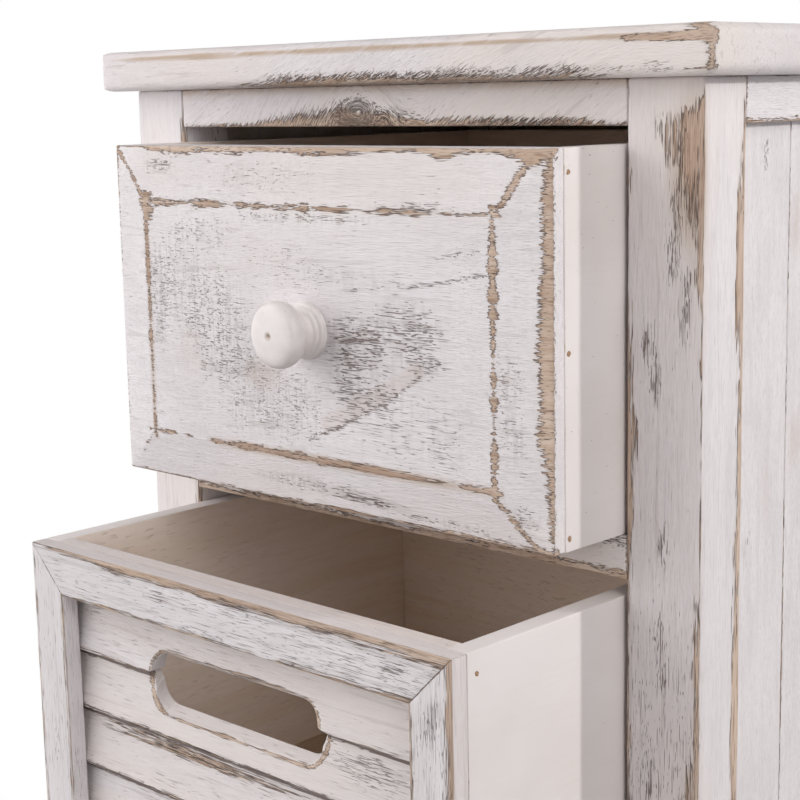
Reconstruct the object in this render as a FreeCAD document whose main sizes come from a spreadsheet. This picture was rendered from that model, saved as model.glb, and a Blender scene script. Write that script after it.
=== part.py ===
import FreeCAD, Part
import Sketcher
import os

# A tall, narrow chest of seven drawers on four posts, in millimetres.
# X runs to the right, Y to the back and Z up, with the origin on the floor under the middle of the outline.
# Carcass pieces are drawn with y = 0 at the front of the posts, and drawer pieces with y = 0 at the edge of
# the drawer's front and z = 0 at its lower edge. The nodes then put them in place.

DRAWERS = 7
SLATS = 4
PLANKS = 5
LOUVRED = range(2, DRAWERS + 1)

DRIVING_SIZES = {
    # carcass
    "opening_width": 252,
    "carcass_depth": 250,
    "leg_height": 55,
    "post_width": 33,
    "post_depth": 27,
    "rail_height": 17,
    "rail_depth": 18,
    "bottom_rail_height": 25,
    "side_rail_thickness": 20,
    "back_rail_depth": 14,
    "tenon_length": 10,
    "tenon_thickness": 8,
    "tenon_shoulder": 3,
    "glue_gap": 0.1,
    "top_thickness": 18,
    "top_front_overhang": 12,
    "top_side_overhang": 11.5,
    "top_edge_radius": 4,
    "plank_recess": 5.5,
    "plank_thickness": 6,
    "plank_tongue": 4,
    "back_panel_thickness": 4,
    "back_rebate": 8,
    # runners and their screws
    "runner_width": 14,
    "stop_height": 12,
    "screw_diameter": 3,
    "screw_head_diameter": 6,
    "screw_head_height": 2,
    "runner_screw_length": 25,
    "top_screw_length": 28,
    "top_screw_inset": 40,
    # drawers
    "drawer_height": 146,
    "side_clearance": 2,
    "running_gap": 0.3,
    "head_gap": 6.7,
    "rear_gap": 12,
    "drawer_side_thickness": 9,
    "drawer_back_thickness": 9,
    "drawer_bottom_thickness": 4,
    "bottom_groove_height": 8,
    "bottom_groove_depth": 4,
    "drawer_1_open": 40.6,
    "drawer_2_open": 96.8,
    # nails of the drawers
    "pin_diameter": 1.6,
    "pin_length": 22,
    "pin_sink": 0.4,
    "pin_top_margin": 8.5,
    "pin_bottom_margin": 5,
    "panel_pin_setback": 2.2,
    "slat_pin_setback": 5,
    # fielded front of the first drawer
    "panel_lip": 6.5,
    "panel_thickness": 15,
    "field_raise": 2.7,
    "bevel_left": 22,
    "bevel_right": 25,
    "bevel_top": 24,
    "bevel_bottom": 20,
    # knob
    "knob_projection": 21.5,
    "knob_head_diameter": 27,
    "knob_head_thickness": 11,
    "knob_neck_diameter": 16,
    "knob_collar_diameter": 19.5,
    "knob_collar_height": 6,
    "knob_flange_diameter": 23,
    "knob_flange_height": 3.2,
    "knob_dimple_radius": 5,
    "knob_dimple_depth": 0.8,
    "knob_screw_diameter": 4,
    "knob_screw_length": 30,
    "knob_screw_head_diameter": 8,
    # louvred fronts of the other drawers
    "frame_thickness": 8,
    "frame_width": 21,
    "slat_thickness": 7.5,
    "slat_step": 4,
    "slot_length": 101,
    "slot_off_centre": 3.3,
    "slot_above_step": 10,
    "slot_below_step": 13.5,
    "slot_corner_radius": 10,
}

WORKED_OUT = {
    "half_opening": "dims.opening_width / 2",
    "half_width": "half_opening + dims.post_width",
    "opening_height": "dims.drawer_height + dims.running_gap + dims.head_gap",
    "drawer_pitch": "opening_height + dims.rail_height",
    "lowest_floor": "dims.leg_height + dims.bottom_rail_height",
    "post_height": f"lowest_floor + {DRAWERS} * drawer_pitch",
    "front_plane": "(dims.drawer_2_open - dims.carcass_depth) / 2",
    "rear_post_front": "dims.carcass_depth - dims.post_depth",
    "back_panel_front": "dims.carcass_depth - dims.back_panel_thickness",
    "back_rail_front": "back_panel_front - dims.back_rail_depth",
    "side_shoulder": "dims.plank_tongue + 2 * dims.glue_gap",
    "groove_outer": "half_width - dims.plank_recess",
    "groove_inner": "groove_outer - dims.plank_thickness",
    "plank_pitch": f"(rear_post_front - dims.post_depth) / {PLANKS}",
    "plank_foot": "lowest_floor - dims.plank_tongue",
    "plank_head": "post_height - dims.rail_height + dims.plank_tongue",
    "runner_inner": "half_opening - dims.runner_width",
    "half_drawer": "half_opening - dims.side_clearance",
    "half_inside": "half_drawer - dims.drawer_side_thickness",
    "drawer_length": "back_panel_front - dims.rear_gap",
    "drawer_back_front": "drawer_length - dims.drawer_back_thickness",
    "louvre_thickness": "dims.frame_thickness + dims.slat_thickness",
    "slat_pitch": f"(dims.drawer_height - 2 * dims.frame_width) / {SLATS}",
    "slat_top": "dims.drawer_height - dims.frame_width",
    "step_face": "dims.frame_thickness + dims.slat_step",
    "pin_start": "half_drawer - dims.pin_sink - dims.pin_length",
    "knob_head_centre": "dims.knob_projection - dims.knob_head_thickness / 2",
}

WALL_PIN_HEIGHTS = (
    "dims.drawer_height - dims.pin_top_margin",
    "dims.drawer_height / 2",
    "dims.pin_bottom_margin",
)

doc = FreeCAD.newDocument("semainier")
nodes = []


def fill_sheets():
    """The driving sizes as plain numbers, and a second sheet with what follows from them."""
    sheets = (
        ("dims", DRIVING_SIZES, "{}"),
        ("layout", WORKED_OUT, "={}"),
    )
    for name, cells, form in sheets:
        sheet = doc.addObject("Spreadsheet::Sheet", name)
        for row, (alias, content) in enumerate(cells.items(), start=1):
            sheet.set(f"A{row}", alias)
            sheet.set(f"B{row}", form.format(content))
            sheet.setAlias(f"B{row}", alias)
        doc.recompute()


def bind_position(piece, low):
    for axis, expression in zip("xyz", low):
        piece.setExpression(f"Placement.Base.{axis}", expression)


def box(name, low, high):
    """A board between two corners, each given as three expressions."""
    piece = doc.addObject("Part::Box", name)
    for side, start, end in zip(("Length", "Width", "Height"), low, high):
        piece.setExpression(side, f"({end}) - ({start})")
    bind_position(piece, low)
    return piece


TURN_TO = {
    "x": FreeCAD.Rotation(FreeCAD.Vector(0, 1, 0), 90),
    "-y": FreeCAD.Rotation(FreeCAD.Vector(1, 0, 0), 90),
    "z": FreeCAD.Rotation(),
}


def rod(name, direction, start, diameter, length):
    """A round bar that runs from a point along x, -y or z."""
    piece = doc.addObject("Part::Cylinder", name)
    piece.Placement = FreeCAD.Placement(FreeCAD.Vector(), TURN_TO[direction])
    piece.setExpression("Radius", f"({diameter}) / 2")
    piece.setExpression("Height", length)
    bind_position(piece, start)
    return piece


def group(name, pieces):
    compound = doc.addObject("Part::Compound", name)
    compound.Links = pieces
    return compound


def fuse(name, pieces):
    joined = doc.addObject("Part::MultiFuse", name)
    joined.Shapes = pieces
    joined.Refine = True
    return joined


def cut(name, base, tools):
    trimmed = doc.addObject("Part::Cut", name)
    trimmed.Base = base
    trimmed.Tool = tools[0] if len(tools) == 1 else fuse(f"{name}_tools", tools)
    return trimmed


def mirror(name, source):
    """The left-hand twin of a right-hand piece."""
    twin = doc.addObject("Part::Mirroring", name)
    twin.Source = source
    twin.Normal = FreeCAD.Vector(1, 0, 0)
    return twin


def node(label, pieces, y="layout.front_plane", z="0"):
    """A sub-part in its place, made of one or more solids."""
    placed = group(f"node_{label}", pieces)
    placed.Label = label
    bind_position(placed, ("0", y, z))
    nodes.append(placed)


def outline_body(name, plane_role, corners):
    """A body with a closed outline on one of its origin planes, each corner held by two expressions."""
    body = doc.addObject("PartDesign::Body", name)
    sketch = body.newObject("Sketcher::SketchObject", f"{name}_outline")
    plane = next(f for f in body.Origin.OriginFeatures if f.Role == plane_role)
    sketch.AttachmentSupport = (plane, [""])
    sketch.MapMode = "FlatFace"
    places = [[float(doc.dims.evalExpression(e)) for e in corner] for corner in corners]
    count = len(corners)
    for i, place in enumerate(places):
        start = FreeCAD.Vector(*place, 0)
        end = FreeCAD.Vector(*places[(i + 1) % count], 0)
        sketch.addGeometry(Part.LineSegment(start, end), False)
    for i in range(count):
        sketch.addConstraint(Sketcher.Constraint("Coincident", i, 2, (i + 1) % count, 1))
    for i, corner in enumerate(corners):
        for axis, expression, value in zip("XY", corner, places[i]):
            held = sketch.addConstraint(Sketcher.Constraint(f"Distance{axis}", -1, 1, i, 1, value))
            sketch.renameConstraint(held, f"corner_{i}_{axis}")
            sketch.setExpression(f"Constraints.corner_{i}_{axis}", expression)
    return body, sketch


def pad(body, sketch, length, side="One side", backwards=False):
    feature = body.newObject("PartDesign::Pad", f"{body.Name}_pad")
    feature.Profile = sketch
    feature.SideType = side
    feature.Reversed = backwards
    feature.setExpression("Length", length)
    return feature


def cross_rail(name, y_low, y_high, z_low, z_high):
    """A rail between two posts along X, with its tenons, and the mortise it needs in the right post."""
    tenon_y = f"(({y_low}) + ({y_high}) - dims.tenon_thickness) / 2"
    tenon_z = f"({z_low}) + dims.tenon_shoulder"
    tenon_top = f"({z_high}) - dims.tenon_shoulder"
    reach = "layout.half_opening + dims.tenon_length"
    bar = box(f"{name}_bar", ("-layout.half_opening", y_low, z_low), ("layout.half_opening", y_high, z_high))
    tenons = box(
        f"{name}_tenons",
        (f"-({reach})", tenon_y, tenon_z),
        (reach, f"{tenon_y} + dims.tenon_thickness", tenon_top),
    )
    mortise = box(
        f"{name}_mortise",
        ("layout.half_opening", f"{tenon_y} - dims.glue_gap", f"{tenon_z} - dims.glue_gap"),
        (
            f"{reach} + dims.glue_gap",
            f"{tenon_y} + dims.tenon_thickness + dims.glue_gap",
            f"{tenon_top} + dims.glue_gap",
        ),
    )
    return fuse(name, [bar, tenons]), mortise


def side_rail(name, z_low, z_high, groove_low, groove_high):
    """A right-hand rail along Y, grooved for the planks, and its mortise, which runs through both posts."""
    bar = box(
        f"{name}_bar",
        ("layout.half_width - dims.side_rail_thickness", "dims.post_depth", z_low),
        ("layout.half_width", "layout.rear_post_front", z_high),
    )
    tenon_z = f"({z_low}) + layout.side_shoulder"
    tenon_top = f"({z_high}) - layout.side_shoulder"
    near = "dims.post_depth - dims.tenon_length"
    far = "layout.rear_post_front + dims.tenon_length"
    tenons = box(
        f"{name}_tenons",
        ("layout.groove_inner", near, tenon_z),
        ("layout.groove_outer", far, tenon_top),
    )
    groove = box(
        f"{name}_groove",
        ("layout.groove_inner - dims.glue_gap", "dims.post_depth", groove_low),
        ("layout.groove_outer + dims.glue_gap", "layout.rear_post_front", groove_high),
    )
    mortise = box(
        f"{name}_mortise",
        ("layout.groove_inner - dims.glue_gap", f"{near} - dims.glue_gap", f"{tenon_z} - dims.glue_gap"),
        ("layout.groove_outer + dims.glue_gap", f"{far} + dims.glue_gap", f"{tenon_top} + dims.glue_gap"),
    )
    return cut(name, fuse(f"{name}_blank", [bar, tenons]), [groove]), mortise


def screw(name, direction, seat, head_start, length):
    """A pan-head screw, whose seat is the point under its head, and the hole that it needs."""
    head = rod(f"{name}_head", direction, head_start, "dims.screw_head_diameter", "dims.screw_head_height")
    shank = rod(f"{name}_shank", direction, seat, "dims.screw_diameter", length)
    hole_size = "dims.screw_diameter + 2 * dims.glue_gap"
    hole = rod(f"{name}_hole", direction, seat, hole_size, f"{length} + dims.glue_gap")
    return fuse(name, [head, shank]), hole


def make_rails():
    """The rails along X and the mortises that they need in the right-hand posts."""
    floor = "layout.lowest_floor"
    under_top = "layout.post_height - dims.rail_height"
    front = ("0", "dims.rail_depth")
    back = ("layout.back_rail_front", "layout.back_panel_front")
    top_rail, top_mortise = cross_rail("top_rail", *front, under_top, "layout.post_height")
    low_rail, low_mortise = cross_rail("low_rail", *front, "dims.leg_height", floor)
    front_mortises = [top_mortise, low_mortise]
    between = []
    for row in range(1, DRAWERS):
        top = f"{floor} + {row} * layout.drawer_pitch"
        rail, mortise = cross_rail(f"between_rail_{row}", *front, f"{top} - dims.rail_height", top)
        between.append(rail)
        front_mortises.append(mortise)
    back_top, back_top_mortise = cross_rail("back_top_rail", *back, under_top, "layout.post_height")
    back_low, back_low_mortise = cross_rail("back_low_rail", *back, "dims.leg_height", floor)
    node("top_front_rail", [top_rail])
    node("drawer_rails", between)
    node("bottom_front_rail", [low_rail])
    node("back_rails", [back_top, back_low])
    return front_mortises, [back_top_mortise, back_low_mortise]


def make_side_rails(top_holes):
    under_top = "layout.post_height - dims.rail_height"
    head = "layout.plank_head + dims.glue_gap"
    foot = "layout.plank_foot - dims.glue_gap"
    top, top_mortise = side_rail("side_top_rail", under_top, "layout.post_height", under_top, head)
    floor = "layout.lowest_floor"
    low, low_mortise = side_rail("side_low_rail", "dims.leg_height", floor, foot, floor)
    drilled = cut("side_top_rail_drilled", top, top_holes)
    right = [drilled, low]
    node("side_rails", right + [mirror(f"{rail.Name}_left", rail) for rail in right])
    return [top_mortise, low_mortise]


def make_planks():
    """Upright planks that stand in grooves of the posts and side rails."""
    planks = []
    for i in range(PLANKS):
        start = f"dims.post_depth + {i} * layout.plank_pitch + dims.glue_gap / 2"
        end = f"dims.post_depth + {i + 1} * layout.plank_pitch - dims.glue_gap / 2"
        if i == 0:
            start = "dims.post_depth - dims.plank_tongue"
        if i == PLANKS - 1:
            end = "layout.rear_post_front + dims.plank_tongue"
        low = ("layout.groove_inner", start, "layout.plank_foot")
        planks.append(box(f"plank_{i}", low, ("layout.groove_outer", end, "layout.plank_head")))
    node("right_side_planks", planks)
    node("left_side_planks", [mirror(f"{plank.Name}_left", plank) for plank in planks])
    return box(
        "plank_groove",
        (
            "layout.groove_inner - dims.glue_gap",
            "dims.post_depth - dims.plank_tongue - dims.glue_gap",
            "layout.plank_foot - dims.glue_gap",
        ),
        (
            "layout.groove_outer + dims.glue_gap",
            "layout.rear_post_front + dims.plank_tongue + dims.glue_gap",
            "layout.plank_head + dims.glue_gap",
        ),
    )


def make_runners():
    """A runner with a rear stop under each drawer and a kicker over the first, screwed to the posts."""
    front_screw_y = "(dims.rail_depth + dims.post_depth) / 2"
    rear_screw_y = "(layout.rear_post_front + layout.back_rail_front) / 2"
    runners = []
    screws = []
    holes = {front_screw_y: [], rear_screw_y: []}
    for row in range(DRAWERS + 1):
        top = f"layout.lowest_floor + {row} * layout.drawer_pitch"
        at_back_rail = row in (0, DRAWERS)
        end = "layout.back_rail_front" if at_back_rail else "layout.back_panel_front"
        low = ("layout.runner_inner", "dims.rail_depth", f"{top} - dims.rail_height")
        strip = box(f"runner_{row}_strip", low, ("layout.half_opening", end, top))
        row_holes = []
        for y in holes:
            name = f"runner_{row}_screw_{len(row_holes)}"
            height = f"{top} - dims.rail_height / 2"
            head_start = ("layout.runner_inner - dims.screw_head_height", y, height)
            seat = ("layout.runner_inner", y, height)
            fixing, hole = screw(name, "x", seat, head_start, "dims.runner_screw_length")
            screws.append(fixing)
            row_holes.append(hole)
            holes[y].append(hole)
        runners.append(cut(f"runner_{row}", strip, row_holes))
        if row < DRAWERS:
            behind = ("layout.runner_inner", "layout.drawer_length + dims.running_gap", top)
            stop_top = f"{top} + dims.stop_height"
            corner = ("layout.half_opening", "layout.back_panel_front", stop_top)
            runners.append(box(f"stop_{row}", behind, corner))
    node("right_runners", runners)
    node("left_runners", [mirror(f"{piece.Name}_left", piece) for piece in runners])
    node("runner_screws", screws + [mirror(f"{piece.Name}_left", piece) for piece in screws])
    return holes[front_screw_y], holes[rear_screw_y]


def make_posts(front_tools, rear_tools):
    front = box(
        "front_post_blank",
        ("layout.half_opening", "0", "0"),
        ("layout.half_width", "dims.post_depth", "layout.post_height"),
    )
    rear = box(
        "rear_post_blank",
        ("layout.half_opening", "layout.rear_post_front", "0"),
        ("layout.half_width", "dims.carcass_depth", "layout.post_height"),
    )
    rebate = box(
        "back_rebate",
        ("layout.half_opening", "layout.back_panel_front", "dims.leg_height - dims.glue_gap"),
        ("layout.half_opening + dims.back_rebate", "dims.carcass_depth", "layout.post_height"),
    )
    front_post = cut("front_post", front, front_tools)
    rear_post = cut("rear_post", rear, rear_tools + [rebate])
    node("front_right_post", [front_post])
    node("front_left_post", [mirror("front_post_left", front_post)])
    node("rear_right_post", [rear_post])
    node("rear_left_post", [mirror("rear_post_left", rear_post)])


def make_back_panel():
    half = "layout.half_opening + dims.back_rebate - dims.glue_gap"
    low = (f"-({half})", "layout.back_panel_front", "dims.leg_height")
    node("back_panel", [box("back_sheet", low, (half, "dims.carcass_depth", "layout.post_height"))])


def make_top_screws():
    """Screws up through the side top rails, inside the planks' groove, into the top board."""
    across = "layout.half_width - (dims.plank_recess + dims.plank_thickness + dims.side_rail_thickness) / 2"
    below = "layout.post_height - dims.rail_height"
    near = "dims.post_depth + dims.top_screw_inset"
    far = "layout.rear_post_front - dims.top_screw_inset"
    screws = []
    holes = []
    for name, y in (("top_screw_near", near), ("top_screw_far", far)):
        head_start = (across, y, f"{below} - dims.screw_head_height")
        fixing, hole = screw(name, "z", (across, y, below), head_start, "dims.top_screw_length")
        screws.append(fixing)
        holes.append(hole)
    node("top_screws", screws + [mirror(f"{piece.Name}_left", piece) for piece in screws])
    return holes


def make_top_board(holes):
    half = "layout.half_width + dims.top_side_overhang"
    front = "-dims.top_front_overhang"
    back = "dims.carcass_depth"
    corners = [(f"-({half})", front), (half, front), (half, back), (f"-({half})", back)]
    body, sketch = outline_body("top_slab", "XY_Plane", corners)
    slab = pad(body, sketch, "dims.top_thickness")
    rounded = body.newObject("PartDesign::Fillet", "top_slab_arrises")
    rounded.Base = (slab, [""])
    rounded.UseAllEdges = True
    rounded.setExpression("Radius", "dims.top_edge_radius")
    body.setExpression("Placement.Base.z", "layout.post_height")
    both = holes + [mirror(f"{hole.Name}_left", hole) for hole in holes]
    node("top_board", [cut("top_slab_drilled", body, both)])


def make_pins(name, rows):
    """Nails through the drawer's sides, at (y, z) places, and the holes that hold them."""
    pins = []
    holes = []
    hole_size = "dims.pin_diameter + 2 * dims.glue_gap"
    hole_length = "dims.pin_length + dims.pin_sink + dims.glue_gap"
    for i, (y, z) in enumerate(rows):
        point = ("layout.pin_start", y, z)
        hole_end = ("layout.pin_start - dims.glue_gap", y, z)
        pins.append(rod(f"{name}_{i}", "x", point, "dims.pin_diameter", "dims.pin_length"))
        holes.append(rod(f"{name}_hole_{i}", "x", hole_end, hole_size, hole_length))
    right = group(f"{name}_right", pins)
    right_holes = group(f"{name}_right_holes", holes)
    left_holes = mirror(f"{name}_left_holes", right_holes)
    return [right, mirror(f"{name}_left", right)], right_holes, left_holes


def bottom_groove(name, front_inner):
    """The space of the drawer's bottom and its tongues, with the glue gap all round."""
    reach = "layout.half_inside + dims.bottom_groove_depth"
    groove_top = "dims.bottom_groove_height + dims.drawer_bottom_thickness + 2 * dims.glue_gap"
    low = (f"-({reach})", f"{front_inner} - dims.bottom_groove_depth", "dims.bottom_groove_height")
    high = (reach, "layout.drawer_back_front + dims.bottom_groove_depth", groove_top)
    return box(name, low, high)


def drawer_bottom(name, front_inner):
    tongue = "(dims.bottom_groove_depth - dims.glue_gap)"
    reach = f"layout.half_inside + {tongue}"
    z = "dims.bottom_groove_height + dims.glue_gap"
    low = (f"-({reach})", f"{front_inner} - {tongue}", z)
    high = (reach, f"layout.drawer_back_front + {tongue}", f"{z} + dims.drawer_bottom_thickness")
    return box(name, low, high)


def make_box_walls(name, lip, front_inner, front_pins):
    """The sides, back, bottom and nails of a drawer, and the cutters that its front needs."""
    back_y = "layout.drawer_length - dims.drawer_back_thickness / 2"
    rows = front_pins + [(back_y, z) for z in WALL_PIN_HEIGHTS]
    pins, right_holes, left_holes = make_pins(f"{name}_pin", rows)
    groove = bottom_groove(f"{name}_groove", front_inner)
    side_blank = box(
        f"{name}_side_blank",
        ("layout.half_inside", lip, "0"),
        ("layout.half_drawer", "layout.drawer_length", "dims.drawer_height"),
    )
    back_blank = box(
        f"{name}_back_blank",
        ("-layout.half_inside + dims.glue_gap", "layout.drawer_back_front", "0"),
        ("layout.half_inside - dims.glue_gap", "layout.drawer_length", "dims.drawer_height"),
    )
    side = cut(f"{name}_side", side_blank, [groove, right_holes])
    walls = {
        "sides": [side, mirror(f"{name}_side_left", side)],
        "back": [cut(f"{name}_back", back_blank, [groove, right_holes, left_holes])],
        "bottom": [drawer_bottom(f"{name}_bottom", front_inner)],
        "pins": pins,
    }
    return walls, [groove, right_holes, left_holes]


def fielded_front(tools):
    """The first drawer's front: a lip over the sides' ends, a core between them and a bevelled field."""
    top = "dims.drawer_height"
    lip = box("panel_lip", ("-layout.half_drawer", "0", "0"), ("layout.half_drawer", "dims.panel_lip", top))
    inside = "layout.half_inside - dims.glue_gap"
    core = box("panel_core", (f"-({inside})", "0", "0"), (inside, "dims.panel_thickness", top))
    field = doc.addObject("Part::Wedge", "panel_field")
    sizes = {
        "Xmin": "-layout.half_drawer + dims.bevel_left",
        "Xmax": "layout.half_drawer - dims.bevel_right",
        "Zmin": "dims.bevel_bottom",
        "Zmax": "dims.drawer_height - dims.bevel_top",
        "Ymin": "-dims.field_raise",
        "X2min": "-layout.half_drawer",
        "X2max": "layout.half_drawer",
        "Z2min": "0",
        "Z2max": "dims.drawer_height",
        "Ymax": "0",
    }
    for side, expression in sizes.items():
        field.setExpression(side, expression)
    return cut("panel", fuse("panel_blank", [lip, core, field]), tools)


def make_knob():
    """A turned knob on the field, its screw, and the hole that the screw needs in the front."""
    middle = "dims.drawer_height / 2"
    face = ("0", "-dims.field_raise", middle)
    flange = rod("knob_flange", "-y", face, "dims.knob_flange_diameter", "dims.knob_flange_height")
    collar = rod("knob_collar", "-y", face, "dims.knob_collar_diameter", "dims.knob_collar_height")
    neck = rod("knob_neck", "-y", face, "dims.knob_neck_diameter", "layout.knob_head_centre")
    head = doc.addObject("Part::Ellipsoid", "knob_head")
    head.Placement = FreeCAD.Placement(FreeCAD.Vector(), TURN_TO["-y"])
    head.setExpression("Radius1", "dims.knob_head_thickness / 2")
    head.setExpression("Radius2", "dims.knob_head_diameter / 2")
    bind_position(head, ("0", "-dims.field_raise - layout.knob_head_centre", middle))
    dimple = doc.addObject("Part::Sphere", "knob_dimple")
    dimple.setExpression("Radius", "dims.knob_dimple_radius")
    dimple_y = "-dims.field_raise - dims.knob_projection - dims.knob_dimple_radius + dims.knob_dimple_depth"
    bind_position(dimple, ("0", dimple_y, middle))
    seat = ("0", "dims.panel_thickness", middle)
    head_start = ("0", "dims.panel_thickness + dims.screw_head_height", middle)
    head_size = ("dims.knob_screw_head_diameter", "dims.screw_head_height")
    screw_head = rod("knob_screw_head", "-y", head_start, *head_size)
    shank = rod("knob_screw_shank", "-y", seat, "dims.knob_screw_diameter", "dims.knob_screw_length")
    hole_size = "dims.knob_screw_diameter + 2 * dims.glue_gap"
    hole = rod("knob_screw_hole", "-y", seat, hole_size, "dims.knob_screw_length + dims.glue_gap")
    turned = fuse("knob_blank", [flange, collar, neck, head])
    knob = cut("knob", turned, [dimple, hole])
    return knob, fuse("knob_screw", [screw_head, shank]), hole


def drawer_height_at(number):
    row = DRAWERS - number
    return f"layout.lowest_floor + dims.running_gap + {row} * layout.drawer_pitch"


def make_first_drawer():
    pin_y = "dims.panel_lip + dims.panel_pin_setback"
    front_pins = [(pin_y, z) for z in WALL_PIN_HEIGHTS]
    depths = ("dims.panel_lip", "dims.panel_thickness")
    walls, tools = make_box_walls("panel_drawer", *depths, front_pins)
    knob, knob_screw, hole = make_knob()
    pieces = {"front": [fielded_front(tools + [hole])], "knob": [knob], "knob_screw": [knob_screw], **walls}
    for part, solids in pieces.items():
        y = "layout.front_plane - dims.drawer_1_open"
        node(f"drawer_1_{part}", solids, y, drawer_height_at(1))


def mitred_frame():
    """Four frame pieces that meet on the diagonals of their corners."""
    half = "layout.half_drawer"
    top = "dims.drawer_height"
    inside = f"{half} - dims.frame_width"
    outer = [(f"-{half}", "0"), (half, "0"), (half, top), (f"-{half}", top)]
    inner = [
        (f"-({inside})", "dims.frame_width"),
        (inside, "dims.frame_width"),
        (inside, "layout.slat_top"),
        (f"-({inside})", "layout.slat_top"),
    ]
    bars = []
    for i, name in enumerate(("frame_bottom", "frame_right", "frame_top", "frame_left")):
        following = (i + 1) % 4
        corners = [outer[i], outer[following], inner[following], inner[i]]
        body, sketch = outline_body(name, "XZ_Plane", corners)
        pad(body, sketch, "dims.frame_thickness", backwards=True)
        bars.append(body)
    return bars


def slat_outline(i):
    """The section of one slat, counted from the top: its face leans out to a sharp lower edge."""
    front = "dims.frame_thickness"
    back = "layout.louvre_thickness"
    upper = f"layout.slat_top - {i} * layout.slat_pitch"
    lower = f"layout.slat_top - {i + 1} * layout.slat_pitch"
    if i == 0:
        head = [(back, "dims.drawer_height"), (front, "dims.drawer_height"), (front, upper)]
    else:
        head = [(back, upper)]
    if i == SLATS - 1:
        foot = [(front, lower), (front, "0"), (back, "0")]
    else:
        foot = [(front, lower), (back, lower)]
    return head + [("layout.step_face", upper)] + foot


def handle_slot():
    """The cutter of the finger slot, with rounded corners, across the first step between slats."""
    step = "layout.slat_top - layout.slat_pitch"
    depth = "2 * layout.louvre_thickness"
    radius = "dims.slot_corner_radius"
    left = "-dims.slot_length / 2 - dims.slot_off_centre"
    right = "dims.slot_length / 2 - dims.slot_off_centre"
    corner_left = f"{left} + {radius}"
    corner_right = f"{right} - {radius}"
    low = f"{step} - dims.slot_below_step"
    high = f"{step} + dims.slot_above_step"
    corner_low = f"{low} + {radius}"
    corner_high = f"{high} - {radius}"
    pieces = [
        box("slot_height", (corner_left, "0", low), (corner_right, depth, high)),
        box("slot_width", (left, "0", corner_low), (right, depth, corner_high)),
    ]
    for i, x in enumerate((corner_left, corner_right)):
        for j, z in enumerate((corner_low, corner_high)):
            pieces.append(rod(f"slot_corner_{i}_{j}", "-y", (x, depth, z), f"2 * {radius}", depth))
    return fuse("slot_cutter", pieces)


def make_slats(tools):
    slot = handle_slot()
    slats = []
    for i in range(SLATS):
        body, sketch = outline_body(f"slat_{i}_board", "YZ_Plane", slat_outline(i))
        pad(body, sketch, "2 * (layout.half_inside - dims.glue_gap)", side="Symmetric")
        slats.append(cut(f"slat_{i}", body, tools + [slot]))
    return slats


def make_louvred_drawers():
    pin_y = "dims.frame_thickness + dims.slat_pin_setback"
    heights = ["dims.drawer_height - dims.pin_top_margin"]
    heights += [f"layout.slat_top - {i + 0.5} * layout.slat_pitch" for i in range(1, SLATS)]
    front_pins = [(pin_y, z) for z in heights]
    depths = ("dims.frame_thickness", "layout.louvre_thickness")
    walls, tools = make_box_walls("louvre_drawer", *depths, front_pins)
    pieces = {"frame": mitred_frame(), "slats": make_slats(tools), **walls}
    for number in LOUVRED:
        y = "layout.front_plane - dims.drawer_2_open" if number == 2 else "layout.front_plane"
        for part, solids in pieces.items():
            node(f"drawer_{number}_{part}", solids, y, drawer_height_at(number))


def check_and_write():
    doc.recompute()
    for item in doc.Objects:
        if "Invalid" in item.State or "Error" in item.State:
            raise RuntimeError(f"{item.Name} did not build: {item.State}")
    os.makedirs("parts", exist_ok=True)
    for placed in nodes:
        shape = placed.Shape
        if shape.isNull() or not shape.isValid() or not shape.Solids:
            raise RuntimeError(f"{placed.Label} has no valid solid")
        shape.exportStep(f"parts/{placed.Label}.step")


fill_sheets()
front_mortises, back_mortises = make_rails()
top_screw_holes = make_top_screws()
side_mortises = make_side_rails(top_screw_holes)
plank_groove = make_planks()
front_holes, rear_holes = make_runners()
make_posts(
    front_mortises + side_mortises + front_holes + [plank_groove],
    back_mortises + side_mortises + rear_holes + [plank_groove],
)
make_back_panel()
make_top_board(top_screw_holes)
make_first_drawer()
make_louvred_drawers()
check_and_write()
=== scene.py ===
import math
import zlib

import bpy
import numpy as np
from mathutils import Matrix, Vector


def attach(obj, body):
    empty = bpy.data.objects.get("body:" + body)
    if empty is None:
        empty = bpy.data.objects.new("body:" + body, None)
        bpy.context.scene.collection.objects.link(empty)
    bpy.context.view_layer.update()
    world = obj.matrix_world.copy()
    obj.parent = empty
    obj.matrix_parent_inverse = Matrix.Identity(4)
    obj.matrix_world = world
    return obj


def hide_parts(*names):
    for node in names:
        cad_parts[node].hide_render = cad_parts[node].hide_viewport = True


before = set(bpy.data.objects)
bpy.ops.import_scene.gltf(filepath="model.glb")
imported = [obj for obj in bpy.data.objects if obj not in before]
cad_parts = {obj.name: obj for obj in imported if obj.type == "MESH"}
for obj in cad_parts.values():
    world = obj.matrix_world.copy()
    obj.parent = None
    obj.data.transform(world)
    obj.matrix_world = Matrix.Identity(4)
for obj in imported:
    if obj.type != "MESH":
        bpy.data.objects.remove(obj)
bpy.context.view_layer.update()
scene = bpy.context.scene

# Sizes are in millimetres, as in the CAD source, and become metres when a mesh is made. Carcass
# pieces have y = 0 at the front of the posts. Drawer pieces have y = 0 at the edge of the drawer's
# front and z = 0 at its lower edge.
ANY = np.inf
FACES = ("-x", "+x", "-y", "+y", "-z", "+z")
SIDES = (("right", 1, "+x", "-x"), ("left", -1, "-x", "+x"))
WIDEST_ROUND = 0.4
ROUND_LINE = 0.586

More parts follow.
